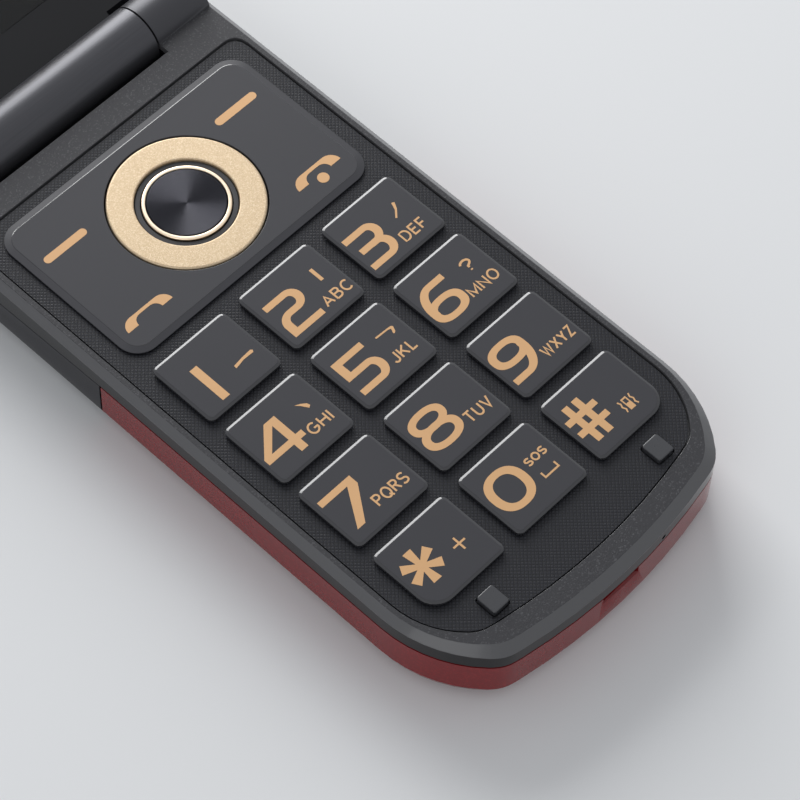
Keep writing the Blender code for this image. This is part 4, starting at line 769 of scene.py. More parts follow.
def smooth(piece: bpy.types.Object, angle: float = 32.0) -> None:
    """Shade an object smooth, with its flat faces kept flat.

    Args:
        piece: The object.
        angle: Edges sharper than this, in degrees, stay crisp.
    """
    one_selected(piece)
    bpy.ops.object.shade_smooth_by_angle(angle=math.radians(angle))
    even = piece.modifiers.new("flat_faces", "WEIGHTED_NORMAL")
    even.keep_sharp = True
    bpy.ops.object.modifier_apply(modifier=even.name)


def duplicate(piece: bpy.types.Object, name: str, place: Matrix) -> bpy.types.Object:
    """Copy an object with its own mesh.

    Args:
        piece: What is copied.
        name: The copy's name.
        place: Where the copy's mesh goes.

    Returns:
        The copy.
    """
    copy = piece.copy()
    copy.data = piece.data.copy()
    copy.name = name
    copy.data.name = name
    copy.data.transform(place)
    bpy.context.collection.objects.link(copy)
    return copy


def plane(name: str, width: float, length: float) -> bpy.types.Object:
    """Add a flat rectangle.

    Args:
        name: The object's name.
        width: Its width in millimetres.
        length: Its length in millimetres.

    Returns:
        The rectangle, with its size in the mesh.
    """
    bpy.ops.mesh.primitive_plane_add(size=1.0, location=(0.0, 0.0, 0.0))
    piece = bpy.context.object
    piece.name = name
    with Bench(piece) as bench:
        bench.everything()
        bench.size(width, length)
    return piece


def cut_round(piece: bpy.types.Object, radius: float, centre: Point, low: float, high: float) -> None:
    """Cut an upright round hole.

    Args:
        piece: What is cut.
        radius: The hole's radius in millimetres.
        centre: The hole's place.
        low: The hole's bottom.
        high: The hole's top.
    """
    one_selected(piece)
    bpy.ops.mesh.primitive_cylinder_add(vertices=128, radius=radius * MM, depth=(high - low) * MM,
                                        location=(centre[0] * MM, centre[1] * MM, (low + high) / 2.0 * MM))
    tool = bpy.context.object
    one_selected(piece)
    hole = piece.modifiers.new("hole", "BOOLEAN")
    hole.operation = "DIFFERENCE"
    hole.solver = "EXACT"
    hole.object = tool
    bpy.ops.object.modifier_apply(modifier=hole.name)
    bpy.data.objects.remove(tool)


def fit(piece: bpy.types.Object, body: str, finish: Finish, nodes: Sequence[str] = ()) -> bpy.types.Object:
    """Put a finished piece on its body.

    Args:
        piece: The piece.
        body: The body it rides on.
        finish: Its finish.
        nodes: The CAD nodes it stands for.

    Returns:
        The piece.
    """
    piece.data.materials.clear()
    piece.data.materials.append(finish.material())
    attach(piece, body)
    if nodes:
        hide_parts(*nodes)
    LOG.info("piece %s on %s", piece.name, body)
    return piece


@dataclass(frozen=True)
class Rounding:
    """Edges of a CAD node that a finer copy rounds."""

    width: float
    steps: int
    test: Callable[[object], bool]


def finer(node: str, finish: Finish, name: str, roundings: Sequence[Rounding] = (),
          angle: float = 32.0) -> bpy.types.Object:
    """Make a welded, smoothly shaded copy of a CAD node with some edges rounded, and hide the node.

    Args:
        node: The CAD node.
        finish: The copy's finish.
        name: The copy's name.
        roundings: Which edges are rounded, and by how much.
        angle: Sharper edges than this stay crisp.

    Returns:
        The copy.
    """
    source = frame["nodes"][node]
    copy = duplicate(source, name, Matrix.Identity(4))
    body = source["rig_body"]
    copy.parent = None
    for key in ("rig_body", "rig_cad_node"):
        del copy[key]
    with Bench(copy) as bench:
        bench.everything()
        bpy.ops.mesh.remove_doubles(threshold=0.001 * MM)
        bpy.ops.mesh.dissolve_limited(angle_limit=math.radians(0.6))
        for rounding in roundings:
            if bench.choose(Part.EDGE, rounding.test):
                bench.bevel(rounding.width, rounding.steps)
    smooth(copy, angle)
    return fit(copy, body, finish, (node,))


def sharp_at(level: float, angle: float = 15.0, slack: float = 0.01) -> Callable[[object], bool]:
    """Make a test for the sharp edges that lie at a height.

    Args:
        level: The height in millimetres.
        angle: The least angle between an edge's faces, in degrees.
        slack: How far from the height an edge may lie.

    Returns:
        A test for one edge.
    """
    least = math.radians(angle)
    return lambda edge: (at_level(edge, level, slack) and len(edge.link_faces) == 2
                         and edge.calc_face_angle(0.0) > least)


# Keys

@dataclass
class KeyCaps:
    """The twelve number keys, modelled once and copied, two of them with one wide corner."""

    top: float = 13.05
    cap_low: float = 12.45
    flange_top: float = 9.85
    flange_low: float = 9.35
    width: float = 12.6
    length: float = 10.7
    cap_out: float = 0.43
    neck_gap: float = 0.10
    corner: float = 0.55
    foot_corner: float = 1.6
    wide_corner: float = 2.8
    edge_width: float = 0.42
    edge_drop: float = 0.18
    edge_round: float = 0.04
    flange_out: float = 0.7
    wall: float = 1.6
    skin_z: float = 11.75
    plunger_share: float = 0.3
    corner_steps: int = 6
    wide_steps: int = 8
    crease: float = 16.0
    pitch_x: float = 16.0
    pitch_y: float = 13.56
    first_y: float = 3.0
    names: tuple[str, ...] = ("1", "2", "3", "4", "5", "6", "7", "8", "9", "star", "0", "hash")

    def place(self, name: str) -> Point:
        """Return a key's centre in millimetres."""
        row, column = divmod(self.names.index(name), 3)
        return (column - 1) * self.pitch_x, self.first_y - row * self.pitch_y

    def model(self, name: str, wide: Point | None = None) -> bpy.types.Object:
        """Model one key over the origin.

        Args:
            name: The object's name.
            wide: The direction of the corner with the wide rounding.

        Returns:
            The key.
        """
        key = plane(name, self.width + 2.0 * self.cap_out, self.length + 2.0 * self.cap_out)
        with Bench(key) as bench:
            bench.everything()
            bench.shift(0.0, 0.0, self.cap_low)

            def is_wide(point: object) -> bool:
                return wide is not None and point.co.x * wide[0] > 0.0 and point.co.y * wide[1] > 0.0

            bench.choose(Part.POINT, lambda point: not is_wide(point))
            bench.bevel(self.corner + self.cap_out, self.corner_steps, corners=True)
            if wide is not None:
                bench.choose(Part.POINT, lambda point: is_wide(point)
                             and abs(point.co.x) > (self.width / 2.0 + self.cap_out - 0.01) * MM
                             and abs(point.co.y) > (self.length / 2.0 + self.cap_out - 0.01) * MM)
                bench.bevel(self.wide_corner + self.cap_out, self.wide_steps, corners=True)
            bench.everything()
            bench.raise_by(self.top - self.edge_drop - self.cap_low)
            bench.weld()
            bench.choose(Part.FACE, lambda face: at_level(face, self.top - self.edge_drop))
            bench.inset(self.edge_width, self.edge_drop)
            bench.choose(Part.EDGE, lambda edge: sharp_at(self.top)(edge)
                         or sharp_at(self.top - self.edge_drop)(edge))
            bench.bevel(self.edge_round, 2)
            bench.choose(Part.FACE, lambda face: at_level(face, self.cap_low))
            bench.inset(self.cap_out + self.neck_gap)
            bench.raise_by(self.flange_top - self.cap_low)
            bench.weld()
            bench.foot(self.width + 2.0 * self.flange_out, self.length + 2.0 * self.flange_out,
                       self.foot_corner, self.corner_steps, (0.0, 0.0), self.flange_low, self.flange_top)
            bench.choose(Part.FACE, lambda face: at_level(face, self.flange_low))
            bench.shrink(1.0 - 2.0 * self.wall / (self.width + 2.0 * self.flange_out),
                         1.0 - 2.0 * self.wall / (self.length + 2.0 * self.flange_out))
            bench.raise_by(self.skin_z - self.flange_low)
            bench.shrink(self.plunger_share, self.plunger_share)
            bench.raise_by(self.flange_low - self.skin_z)
            bench.weld()
        smooth(key, self.crease)
        return key

    def build(self) -> None:
        """Place the twelve keys on their bodies."""
        plain = self.model("cap_plain")
        shaped = {"star": self.model("cap_left_end", (-1.0, -1.0)),
                  "hash": self.model("cap_right_end", (1.0, -1.0))}
        for name in self.names:
            x, y = self.place(name)
            place = Matrix.Translation((x * MM, y * MM, 0.0))
            key = duplicate(shaped.get(name, plain), f"cap_{name}", place)
            fit(key, f"button_{name}", KEY, (f"key_{name}",))
        for pattern in (plain, *shaped.values()):
            bpy.data.objects.remove(pattern)


@dataclass
class FunctionPlate:
    """The plate round the navigation ring: flat face, sloping skirt, neck and flange."""

    top: float = 12.75
    skirt_top: float = 12.55
    cap_low: float = 12.45
    flange_top: float = 9.85
    flange_low: float = 9.35
    centre_y: float = 25.29
    width: float = 43.6
    length: float = 26.0
    cap_out: float = 1.1
    corner: float = 2.4
    flange_out: float = 0.7
    edge_width: float = 0.13
    edge_drop: float = 0.055
    nav_y: float = 25.15
    hole: float = 11.37
    corner_steps: int = 12
    skirt_round: float = 0.06
    hole_round: float = 0.08
    crease: float = 8.5

    def build(self) -> None:
        """Model the plate and put it on its body."""
        plate = plane("plate_cap", self.width + 2.0 * self.cap_out, self.length + 2.0 * self.cap_out)
        with Bench(plate) as bench:
            bench.everything()
            bench.shift(0.0, self.centre_y, self.cap_low)
            bench.choose(Part.POINT, lambda point: True)
            bench.bevel(self.corner + self.cap_out, self.corner_steps, corners=True)
            bench.everything()
            bench.raise_by(self.skirt_top - self.cap_low)
            bench.weld()
            bench.choose(Part.FACE, lambda face: at_level(face, self.skirt_top))
            bench.inset(self.cap_out - self.edge_width, self.top - self.skirt_top - self.edge_drop)
            bench.inset(self.edge_width, self.edge_drop)
            bench.choose(Part.FACE, lambda face: at_level(face, self.cap_low))
            bench.inset(self.cap_out)
            bench.raise_by(self.flange_top - self.cap_low)
            bench.weld()
            bench.foot(self.width + 2.0 * self.flange_out, self.length + 2.0 * self.flange_out,
                       self.corner + self.flange_out, self.corner_steps, (0.0, self.centre_y),
                       self.flange_low, self.flange_top)
            bench.choose(Part.EDGE, sharp_at(self.skirt_top))
            bench.bevel(self.skirt_round, 2)
            bench.weld()
        cut_round(plate, self.hole, (0.0, self.nav_y), self.flange_low - 2.0, self.top + 2.0)
        with Bench(plate) as bench:
            bench.choose(Part.EDGE, lambda edge: sharp_at(self.top)(edge) and all(
                (point.co - Vector((0.0, self.nav_y * MM, point.co.z))).length < (self.hole + 0.05) * MM
                for point in edge.verts))
            bench.bevel(self.hole_round, 3)
        smooth(plate, self.crease)
        fit(plate, "soft_key_plate", PLATE, ("function_plate",))


# Navigation

@dataclass
class Navigation:
    """The gold ring, the pale rim, the spun disc of the centre key and the carrier's collar."""

    centre_y: float = 25.15
    plate_top: float = 12.75
    ring_top: float = 12.87
    ring_thickness: float = 0.8
    ring_outer: float = 11.15
    ring_inner: float = 7.29
    rim_outer: float = 6.28
    rim_width: float = 0.56
    rim_height: float = 0.65
    disc: float = 5.57
    disc_edge: float = 0.16
    disc_round: float = 0.05
    dish: float = 2.6
    speck: float = 0.12
    body_low: float = 10.65
    ledge: float = 11.95
    plunger_low: float = 9.35
    plunger: float = 1.6
    collar_outer: float = 7.15
    collar_inner: float = 6.43
    collar_low: float = 11.0
    collar_top: float = 12.42
    carrier_bore: float = 7.7
    facets: int = 160
    lip_steps: int = 5

    def turned(self, name: str, outer: float, inner: float, low: float, high: float,
               outer_lip: float, inner_lip: float) -> bpy.types.Object:
        """Spin a rounded section about the keys' axis.

        Args:
            name: The object's name.
            outer: The outer radius.
            inner: The inner radius.
            low: The underside's height.
            high: The top's height.
            outer_lip: The rounding of the outer top edge.
            inner_lip: The rounding of the inner top edge.

        Returns:
            The turned ring.
        """
        ring = plane(name, outer - inner, high - low)
        middle = (outer + inner) / 2.0
        with Bench(ring) as bench:
            bench.everything()
            bpy.ops.transform.rotate(value=math.pi / 2.0, orient_axis="X", center_override=(0.0, 0.0, 0.0))
            bench.shift(middle, self.centre_y, (low + high) / 2.0)
            for side, lip in ((1.0, outer_lip), (-1.0, inner_lip)):
                bench.choose(Part.POINT, lambda point: point.co.z > (high - 0.01) * MM
                             and (point.co.x / MM - middle) * side > (outer - inner) / 2.0 - 0.01)
                bench.bevel(lip, self.lip_steps, corners=True)
            bench.everything()
            bpy.ops.mesh.delete(type="ONLY_FACE")
            bench.everything()
            bpy.ops.mesh.spin(steps=self.facets, angle=TAU, center=(0.0, self.centre_y * MM, 0.0),
                              axis=(0.0, 0.0, 1.0))
            bench.weld()
        smooth(ring, 40.0)
        return ring

    def centre_disc(self) -> bpy.types.Object:
        """Return the centre key: plunger, body, dished disc with a speck at its middle."""
        bpy.ops.mesh.primitive_circle_add(vertices=128, radius=self.rim_outer * MM, fill_type="NGON")
        disc = bpy.context.object
        disc.name = "spun_disc"
        with Bench(disc) as bench:
            bench.everything()
            bench.shift(0.0, self.centre_y, self.body_low)
            bench.raise_by(self.ledge - self.body_low)
            bench.weld()
            bench.choose(Part.FACE, lambda face: at_level(face, self.ledge))
            bench.inset(self.rim_outer - self.disc)
            bench.raise_by(self.plate_top - self.ledge)
            bench.inset(self.disc_edge)
            bench.inset(self.disc - self.disc_edge - self.dish, -0.05)
            bench.inset(self.dish - self.speck, -0.06)
            bench.inset(self.speck / 3.0, 0.03)
            bench.choose(Part.EDGE, sharp_at(self.plate_top, 40.0))
            bench.bevel(self.disc_round, 2)
            bench.choose(Part.FACE, lambda face: at_level(face, self.body_low))
            bench.inset(self.rim_outer - self.plunger)
            bench.raise_by(self.plunger_low - self.body_low)
            bench.weld()
        smooth(disc, 30.0)
        return disc

    def build(self) -> None:
        """Make the five turned pieces."""
        ring = self.turned("nav_ring_gold", self.ring_outer, self.ring_inner,
                           self.ring_top - self.ring_thickness, self.ring_top, 0.32, 0.22)
        fit(ring, "ring", GOLD, ("nav_ring",))
        rim = self.turned("ok_rim_gold", self.rim_outer, self.rim_outer - self.rim_width,
                          self.plate_top - self.rim_height, self.plate_top + 0.02, 0.20, 0.08)
        fit(rim, "centre_button", PALE_GOLD, ("ok_key_rim",))
        fit(self.centre_disc(), "centre_button", SPUN, ("ok_key",))
        wall = self.turned("collar_wall", self.collar_outer, self.collar_inner, self.collar_low,
                           self.collar_top, 0.06, 0.06)
        fit(wall, "rocker", RUBBER)
        foot = self.turned("collar_foot", self.carrier_bore + 0.1, self.collar_outer - 0.2, self.collar_low,
                           self.collar_low + 0.4, 0.05, 0.05)
        fit(foot, "rocker", RUBBER)


# Legends

def arc(centre: Point, radii: Point, start: float, end: float, steps: int = 14) -> list[Point]:
    """Draw part of an ellipse.

    Args:
        centre: Its centre.
        radii: Its half width and half height.
        start: The first angle, in degrees.
        end: The last angle.
        steps: How many lines it is made of.

    Returns:
        The points along it.
    """
    turns = [math.radians(start + (end - start) * step / steps) for step in range(steps + 1)]
    return [(centre[0] + radii[0] * math.cos(turn), centre[1] + radii[1] * math.sin(turn))
            for turn in turns]


def oval(centre: Point, radii: Point, squareness: float = 2.3, steps: int = 64) -> list[Point]:
    """Draw an oval.

    Args:
        centre: Its centre.
        radii: Its half width and half height.
        squareness: The power in its formula; above 2 it is squarer than an ellipse.
        steps: How many lines it is made of.

    Returns:
        The closed outline.
    """
    points = []
    for step in range(steps):
        turn = TAU * step / steps
        reach_x = math.copysign(abs(math.cos(turn)) ** (2.0 / squareness), math.cos(turn))
        reach_y = math.copysign(abs(math.sin(turn)) ** (2.0 / squareness), math.sin(turn))
        points.append((centre[0] + radii[0] * reach_x, centre[1] + radii[1] * reach_y))
    return points


def bar(left: float, low: float, right: float, high: float) -> list[Point]:
    """Return a rectangle."""
    return [(left, low), (right, low), (right, high), (left, high)]


def ribbon(path: Sequence[Point], thick: float = 1.0, stretch: float = 1.3) -> list[Point]:
    """Return the outline of a pen stroke, wider across than along.

    Args:
        path: The stroke's middle line.
        thick: The stroke's thickness where it runs across.
        stretch: How much thicker it is where it runs upwards.

    Returns:
        The closed outline.
    """
    middle = [Vector((x / stretch, y)) for x, y in path]
    sides: dict[float, list[Point]] = {1.0: [], -1.0: []}
    for index, point in enumerate(middle):
        before = point - middle[index - 1] if index else middle[1] - point
        after = middle[index + 1] - point if index + 1 < len(middle) else before
        first = Vector((-before.y, before.x)).normalized()
        second = Vector((-after.y, after.x)).normalized()
        lean = (first + second).normalized()
        reach = thick / 2.0 / max(0.45, lean.dot(first))
        for side, outline in sides.items():
            spot = point + lean * (reach * side)
            outline.append((spot.x * stretch, spot.y))
    return sides[1.0] + sides[-1.0][::-1]


Layer = list[list[Point]]
UPPER_BOWL = arc((0.34, 0.75), (0.34, 0.25), 30.0, 270.0, 12)
LOWER_BOWL = arc((0.34, 0.25), (0.34, 0.25), 90.0, -150.0, 12)

LETTERS: dict[str, tuple[float, list[list[Point]]]] = {
    "A": (0.80, [[(0.0, 0.0), (0.4, 1.0), (0.8, 0.0)], [(0.14, 0.3), (0.66, 0.3)]]),
    "B": (0.66, [[(0.0, 0.0), (0.0, 1.0), *arc((0.36, 0.77), (0.26, 0.23), 90.0, -90.0, 8), (0.1, 0.54)],
                 [(0.0, 0.54), *arc((0.38, 0.27), (0.28, 0.27), 90.0, -90.0, 8), (0.0, 0.0)]]),
    "C": (0.74, [arc((0.42, 0.5), (0.42, 0.5), 48.0, 312.0, 20)]),
    "D": (0.72, [[(0.0, 0.0), (0.0, 1.0), *arc((0.32, 0.5), (0.40, 0.5), 90.0, -90.0, 14), (0.0, 0.0)]]),
    "E": (0.56, [[(0.56, 1.0), (0.0, 1.0), (0.0, 0.0), (0.56, 0.0)], [(0.0, 0.52), (0.5, 0.52)]]),
    "F": (0.54, [[(0.54, 1.0), (0.0, 1.0), (0.0, 0.0)], [(0.0, 0.5), (0.48, 0.5)]]),
    "G": (0.80, [[*arc((0.42, 0.5), (0.42, 0.5), 48.0, 345.0, 22), (0.80, 0.46), (0.46, 0.46)]]),
    "H": (0.70, [[(0.0, 0.0), (0.0, 1.0)], [(0.0, 0.52), (0.7, 0.52)], [(0.7, 0.0), (0.7, 1.0)]]),
    "I": (0.02, [[(0.01, 0.0), (0.01, 1.0)]]),
    "J": (0.48, [[(0.48, 1.0), *arc((0.24, 0.24), (0.24, 0.24), 0.0, -170.0, 10)]]),
    "K": (0.68, [[(0.0, 0.0), (0.0, 1.0)], [(0.64, 1.0), (0.02, 0.40)], [(0.26, 0.62), (0.68, 0.0)]]),
    "L": (0.52, [[(0.0, 1.0), (0.0, 0.0), (0.52, 0.0)]]),
    "M": (0.90, [[(0.0, 0.0), (0.0, 1.0), (0.45, 0.12), (0.9, 1.0), (0.9, 0.0)]]),
    "N": (0.70, [[(0.0, 0.0), (0.0, 1.0), (0.7, 0.0), (0.7, 1.0)]]),
    "O": (0.84, [arc((0.42, 0.5), (0.42, 0.5), 90.0, 450.0, 32)]),
    "P": (0.62, [[(0.0, 0.0), (0.0, 1.0), *arc((0.34, 0.74), (0.28, 0.26), 90.0, -90.0, 8), (0.1, 0.48)]]),
    "Q": (0.84, [arc((0.42, 0.5), (0.42, 0.5), 90.0, 450.0, 32), [(0.52, 0.26), (0.84, -0.08)]]),
    "R": (0.66, [[(0.0, 0.0), (0.0, 1.0), *arc((0.34, 0.76), (0.28, 0.24), 90.0, -90.0, 8), (0.1, 0.52)],
                 [(0.30, 0.52), (0.66, 0.0)]]),
    "S": (0.68, [UPPER_BOWL + LOWER_BOWL[1:]]),
    "T": (0.72, [[(0.0, 1.0), (0.72, 1.0)], [(0.36, 1.0), (0.36, 0.0)]]),
    "U": (0.70, [[(0.0, 1.0), *arc((0.35, 0.35), (0.35, 0.35), 180.0, 360.0, 14), (0.70, 1.0)]]),
    "V": (0.76, [[(0.0, 1.0), (0.38, 0.0), (0.76, 1.0)]]),
    "W": (1.16, [[(0.0, 1.0), (0.30, 0.0), (0.58, 0.94), (0.86, 0.0), (1.16, 1.0)]]),
    "X": (0.74, [[(0.0, 1.0), (0.74, 0.0)], [(0.0, 0.0), (0.74, 1.0)]]),
    "Y": (0.72, [[(0.0, 1.0), (0.36, 0.46), (0.72, 1.0)], [(0.36, 0.5), (0.36, 0.0)]]),
    "Z": (0.66, [[(0.02, 1.0), (0.66, 1.0), (0.0, 0.0), (0.66, 0.0)]]),
    "s": (0.68, [UPPER_BOWL + LOWER_BOWL[1:]]),
    "o": (0.84, [arc((0.42, 0.5), (0.42, 0.5), 90.0, 450.0, 28)]),
    "?": (0.60, [[*arc((0.30, 0.74), (0.30, 0.26), 170.0, -50.0, 12), (0.32, 0.42), (0.31, 0.28)],
                 [(0.31, -0.02), (0.31, 0.1)]]),
}


def pen_line(path: list[Point], pen: float) -> Layer:
    """Outline a stroke of even thickness.

    Args:
        path: The stroke's middle line.
        pen: Its thickness.

    Returns:
        One outline, or a ring's two where the stroke ends at its start.
    """
    if math.dist(path[0], path[-1]) > 0.001:
        return [ribbon(path, pen, 1.0)]
    rim = path[:-1]
    sides: Layer = [[], []]
    for index, point in enumerate(rim):
        ahead = Vector(rim[(index + 1) % len(rim)]) - Vector(rim[index - 1])
        out = Vector((-ahead.y, ahead.x)).normalized() * (pen / 2.0)
        sides[0].append((point[0] + out.x, point[1] + out.y))
        sides[1].append((point[0] - out.x, point[1] - out.y))
    return sides


@dataclass(frozen=True)
class Word:
    """Letters that fill a measured box on a key."""

    letters: str
    left: float
    low: float
    right: float
    high: float
    pen: float = 0.28
    gap: float = 0.34

    def layers(self) -> list[Layer]:
        """Return the letters' strokes, those that cross in layers of their own."""
        natural = sum(LETTERS[letter][0] for letter in self.letters) + self.gap * (len(self.letters) - 1)
        across = (self.right - self.left - self.pen) / natural
        along = self.high - self.low - self.pen
        reach = [(self.left, self.low - 0.25 * (self.high - self.low)), (self.right, self.high)]
        stacked: list[Layer] = [[], [], []]
        start = self.left + self.pen / 2.0
        for letter in self.letters:
            width, strokes = LETTERS[letter]
            for level, stroke in enumerate(strokes):
                path = [(start + x * across, self.low + self.pen / 2.0 + y * along) for x, y in stroke]
                for outline in pen_line(path, self.pen):
                    stacked[level].append([(min(max(x, reach[0][0]), reach[1][0]),
                                            min(max(y, reach[0][1]), reach[1][1])) for x, y in outline])
            start += (width + self.gap) * across
        return [layer for layer in stacked if layer]


def ring_of(centre: Point, outer: Point, inner: Point, squareness: float = 2.3) -> Layer:
    """Return an oval with an oval hole."""
    return [oval(centre, outer, squareness), oval(centre, inner, squareness)]


def turned_about(layer: Layer, centre: Point) -> Layer:
    """Return outlines turned half round about a point."""
    return [[(2.0 * centre[0] - x, 2.0 * centre[1] - y) for x, y in outline] for outline in layer]


def star(centre: Point, reach: float, tip: float, root: float, arms: int = 6) -> list[Point]:
    """Draw a star whose arms widen outwards, the first at 30 degrees.

    Args:
        centre: Its centre.
        reach: How far the arms reach.
        tip: An arm's width at its end.
        root: How far from the centre the notches between arms lie.
        arms: How many arms it has.

    Returns:
        The closed outline.
    """
    points = []
    for arm in range(arms):
        turn = math.radians(30.0) + TAU * arm / arms
        ahead = Vector((math.cos(turn), math.sin(turn)))
        across = Vector((-ahead.y, ahead.x))
        notch = turn - math.pi / arms
        points.append((centre[0] + root * math.cos(notch), centre[1] + root * math.sin(notch)))
        for side in (-1.0, 1.0):
            spot = ahead * reach + across * (tip / 2.0 * side)
            points.append((centre[0] + spot.x, centre[1] + spot.y))
    return points


SIX: list[Layer] = [ring_of((-3.14, -1.81), (3.04, 2.04), (1.80, 1.06), 2.5),
                    [ribbon([(-0.3, 2.2), (-3.1, 2.2), *arc((-3.1, -1.2), (2.44, 3.4), 90.0, 180.0)[1:],
                             (-5.54, -1.9)])]]
NINE_CENTRE = (-3.14, -0.425)

FIGURES: dict[str, list[Layer]] = {
    "1": [[bar(-3.25, -4.4, -1.95, 1.98)]],
    "2": [[ribbon([(-5.35, 1.73), (-1.62, 1.73), *arc((-1.62, 0.415), (1.29, 1.315), 90.0, -90.0)[1:],
                   (-3.2, -0.9), *arc((-3.2, -2.35), (1.52, 1.45), 90.0, 180.0)[1:], (-4.72, -3.8),
                   (0.32, -3.8)])]],
    "3": [[ribbon([(-6.02, 1.73), (-2.3, 1.73), *arc((-2.3, 0.40), (1.24, 1.33), 90.0, -90.0)[1:],
                   (-5.35, -0.95)])],
          [ribbon([(-3.4, -0.98), *arc((-2.35, -2.39), (1.29, 1.41), 90.0, -90.0), (-6.02, -3.8)])]],
    "4": [[[(-6.05, -2.35), (-6.05, -1.35), (-2.22, 2.65), (-0.27, 2.65), (-0.27, -1.35), (0.77, -1.35),
            (0.77, -2.35), (-0.27, -2.35), (-0.27, -3.8), (-1.52, -3.8), (-1.52, -2.35)],
           [(-4.6, -1.35), (-1.52, -1.35), (-1.52, 1.7)]]],
    "5": [[ribbon([(0.025, 2.27), (-4.84, 2.27), (-4.84, -0.3), (-1.5, -0.3),
                   *arc((-1.5, -1.76), (1.25, 1.46), 90.0, -90.0)[1:], (-5.475, -3.22)])]],
    "6": SIX,
    "7": [[[(-5.85, 2.775), (0.15, 2.775), (0.15, 1.2), (-3.475, -3.725), (-4.9, -3.725), (-1.225, 1.775),
            (-5.85, 1.775)]]],
    "8": [ring_of((-2.5, 1.30), (3.10, 1.83), (1.90, 0.85)),
          ring_of((-2.425, -1.46), (3.25, 1.99), (1.98, 0.99))],
    "9": [turned_about(layer, NINE_CENTRE) for layer in SIX],
    "star": [[star((-2.975, 0.175), 2.85, 1.45, 0.86)], [bar(1.775, -1.075, 3.9, -0.775)],
             [bar(2.69, -2.025, 2.99, 0.175)]],
    "0": [ring_of((-2.5, 0.0), (3.275, 3.275), (1.975, 2.225), 2.35)],
    "hash": [[bar(-4.9, -3.45, -3.8, 3.275), bar(-3.02, -3.45, -1.9, 3.275)],
             [bar(-6.1, 0.575, -0.55, 1.575), bar(-6.1, -1.675, -0.55, -0.675)],
             [bar(1.825, -3.275, 2.775, -1.2), bar(2.02, -2.15, 2.58, -1.45)]],
}

MARKS: dict[str, list[Layer]] = {
    "1": [[[(1.55, -2.1), (1.55, -1.62), (3.2, -1.4), (4.9, -1.3), (5.15, -1.55), (4.95, -1.85),
            (3.2, -1.8)]]],
    "2": [[bar(3.525, -0.275, 4.075, 2.1)]],
    "3": [[[(3.55, 1.95), (4.0, 1.75), (3.45, 0.75), (2.35, -0.4), (2.15, -0.2), (3.1, 0.8)]]],
    "4": [[[(2.75, 1.85), (3.3, 1.25), (3.95, 0.2), (4.35, 0.45), (4.2, 0.95), (3.5, 1.5)]]],
    "5": [[[(2.025, 1.45), (2.025, 1.72), (4.1, 1.62), (4.85, 1.55), (5.1, 1.3), (4.75, 0.55), (4.45, 0.35),
            (4.3, 0.5), (4.6, 1.2), (4.2, 1.35)]]],
    "0": [[ribbon([(2.1, -1.3), (2.1, -2.2), (4.6, -2.2), (4.6, -1.3)], 0.28, 1.0)]],
    "hash": [[ribbon([(1.2, -1.2), (1.42, -1.7), (1.2, -2.2), (1.42, -2.7), (1.2, -3.2)], 0.22, 1.0),
              ribbon([(3.4, -1.2), (3.18, -1.7), (3.4, -2.2), (3.18, -2.7), (3.4, -3.2)], 0.22, 1.0)]],
}

WORDS: dict[str, Word] = {
    "2": Word("ABC", 1.1, -4.05, 6.15, -2.15),
    "3": Word("DEF", 0.325, -4.15, 4.725, -2.25),
    "4": Word("GHI", 1.225, -3.325, 5.325, -1.425),
    "5": Word("JKL", 1.1, -3.325, 5.325, -1.425),
    "6": Word("MNO", 0.15, -3.4, 5.6, -1.5),
    "7": Word("PQRS", -0.425, -3.45, 5.475, -1.525),
    "8": Word("TUV", 1.225, -3.275, 5.825, -1.325),
    "9": Word("WXYZ", 0.025, -3.425, 5.85, -1.575),
    "0": Word("sos", 1.65, 0.3, 5.35, 1.65, 0.27),
}
QUERY = Word("?", 2.4, -0.15, 4.3, 2.1, 0.34)


def handset(left: float, right: float, low: float, high: float, mouth: float, top: float) -> list[Point]:
    """Return a telephone handset lying with its cups down.

    Args:
        left: Its left end.
        right: Its right end.
        low: The cups' flat ends.
        high: Its back.
        mouth: Each cup's width.
        top: The hollow's roof.

    Returns:
        The closed outline.
    """
    bend = high - low
    inner_left = left + mouth
    inner_right = right - mouth
    roof = top - low
    return [*arc((left + bend, low), (bend, bend), 180.0, 90.0, 8),
            *arc((right - bend, low), (bend, bend), 90.0, 0.0, 8),
            *arc((inner_right - roof, low), (roof, roof), 0.0, 90.0, 8),
            *arc((inner_left + roof, low), (roof, roof), 90.0, 180.0, 8)]


def pill(left: float, low: float, right: float, high: float) -> list[Point]:
    """Return a bar with round ends."""
    radius = (high - low) / 2.0
    middle = (high + low) / 2.0
    return [*arc((left + radius, middle), (radius, radius), 270.0, 90.0, 12),
            *arc((right - radius, middle), (radius, radius), 90.0, -90.0, 12)]


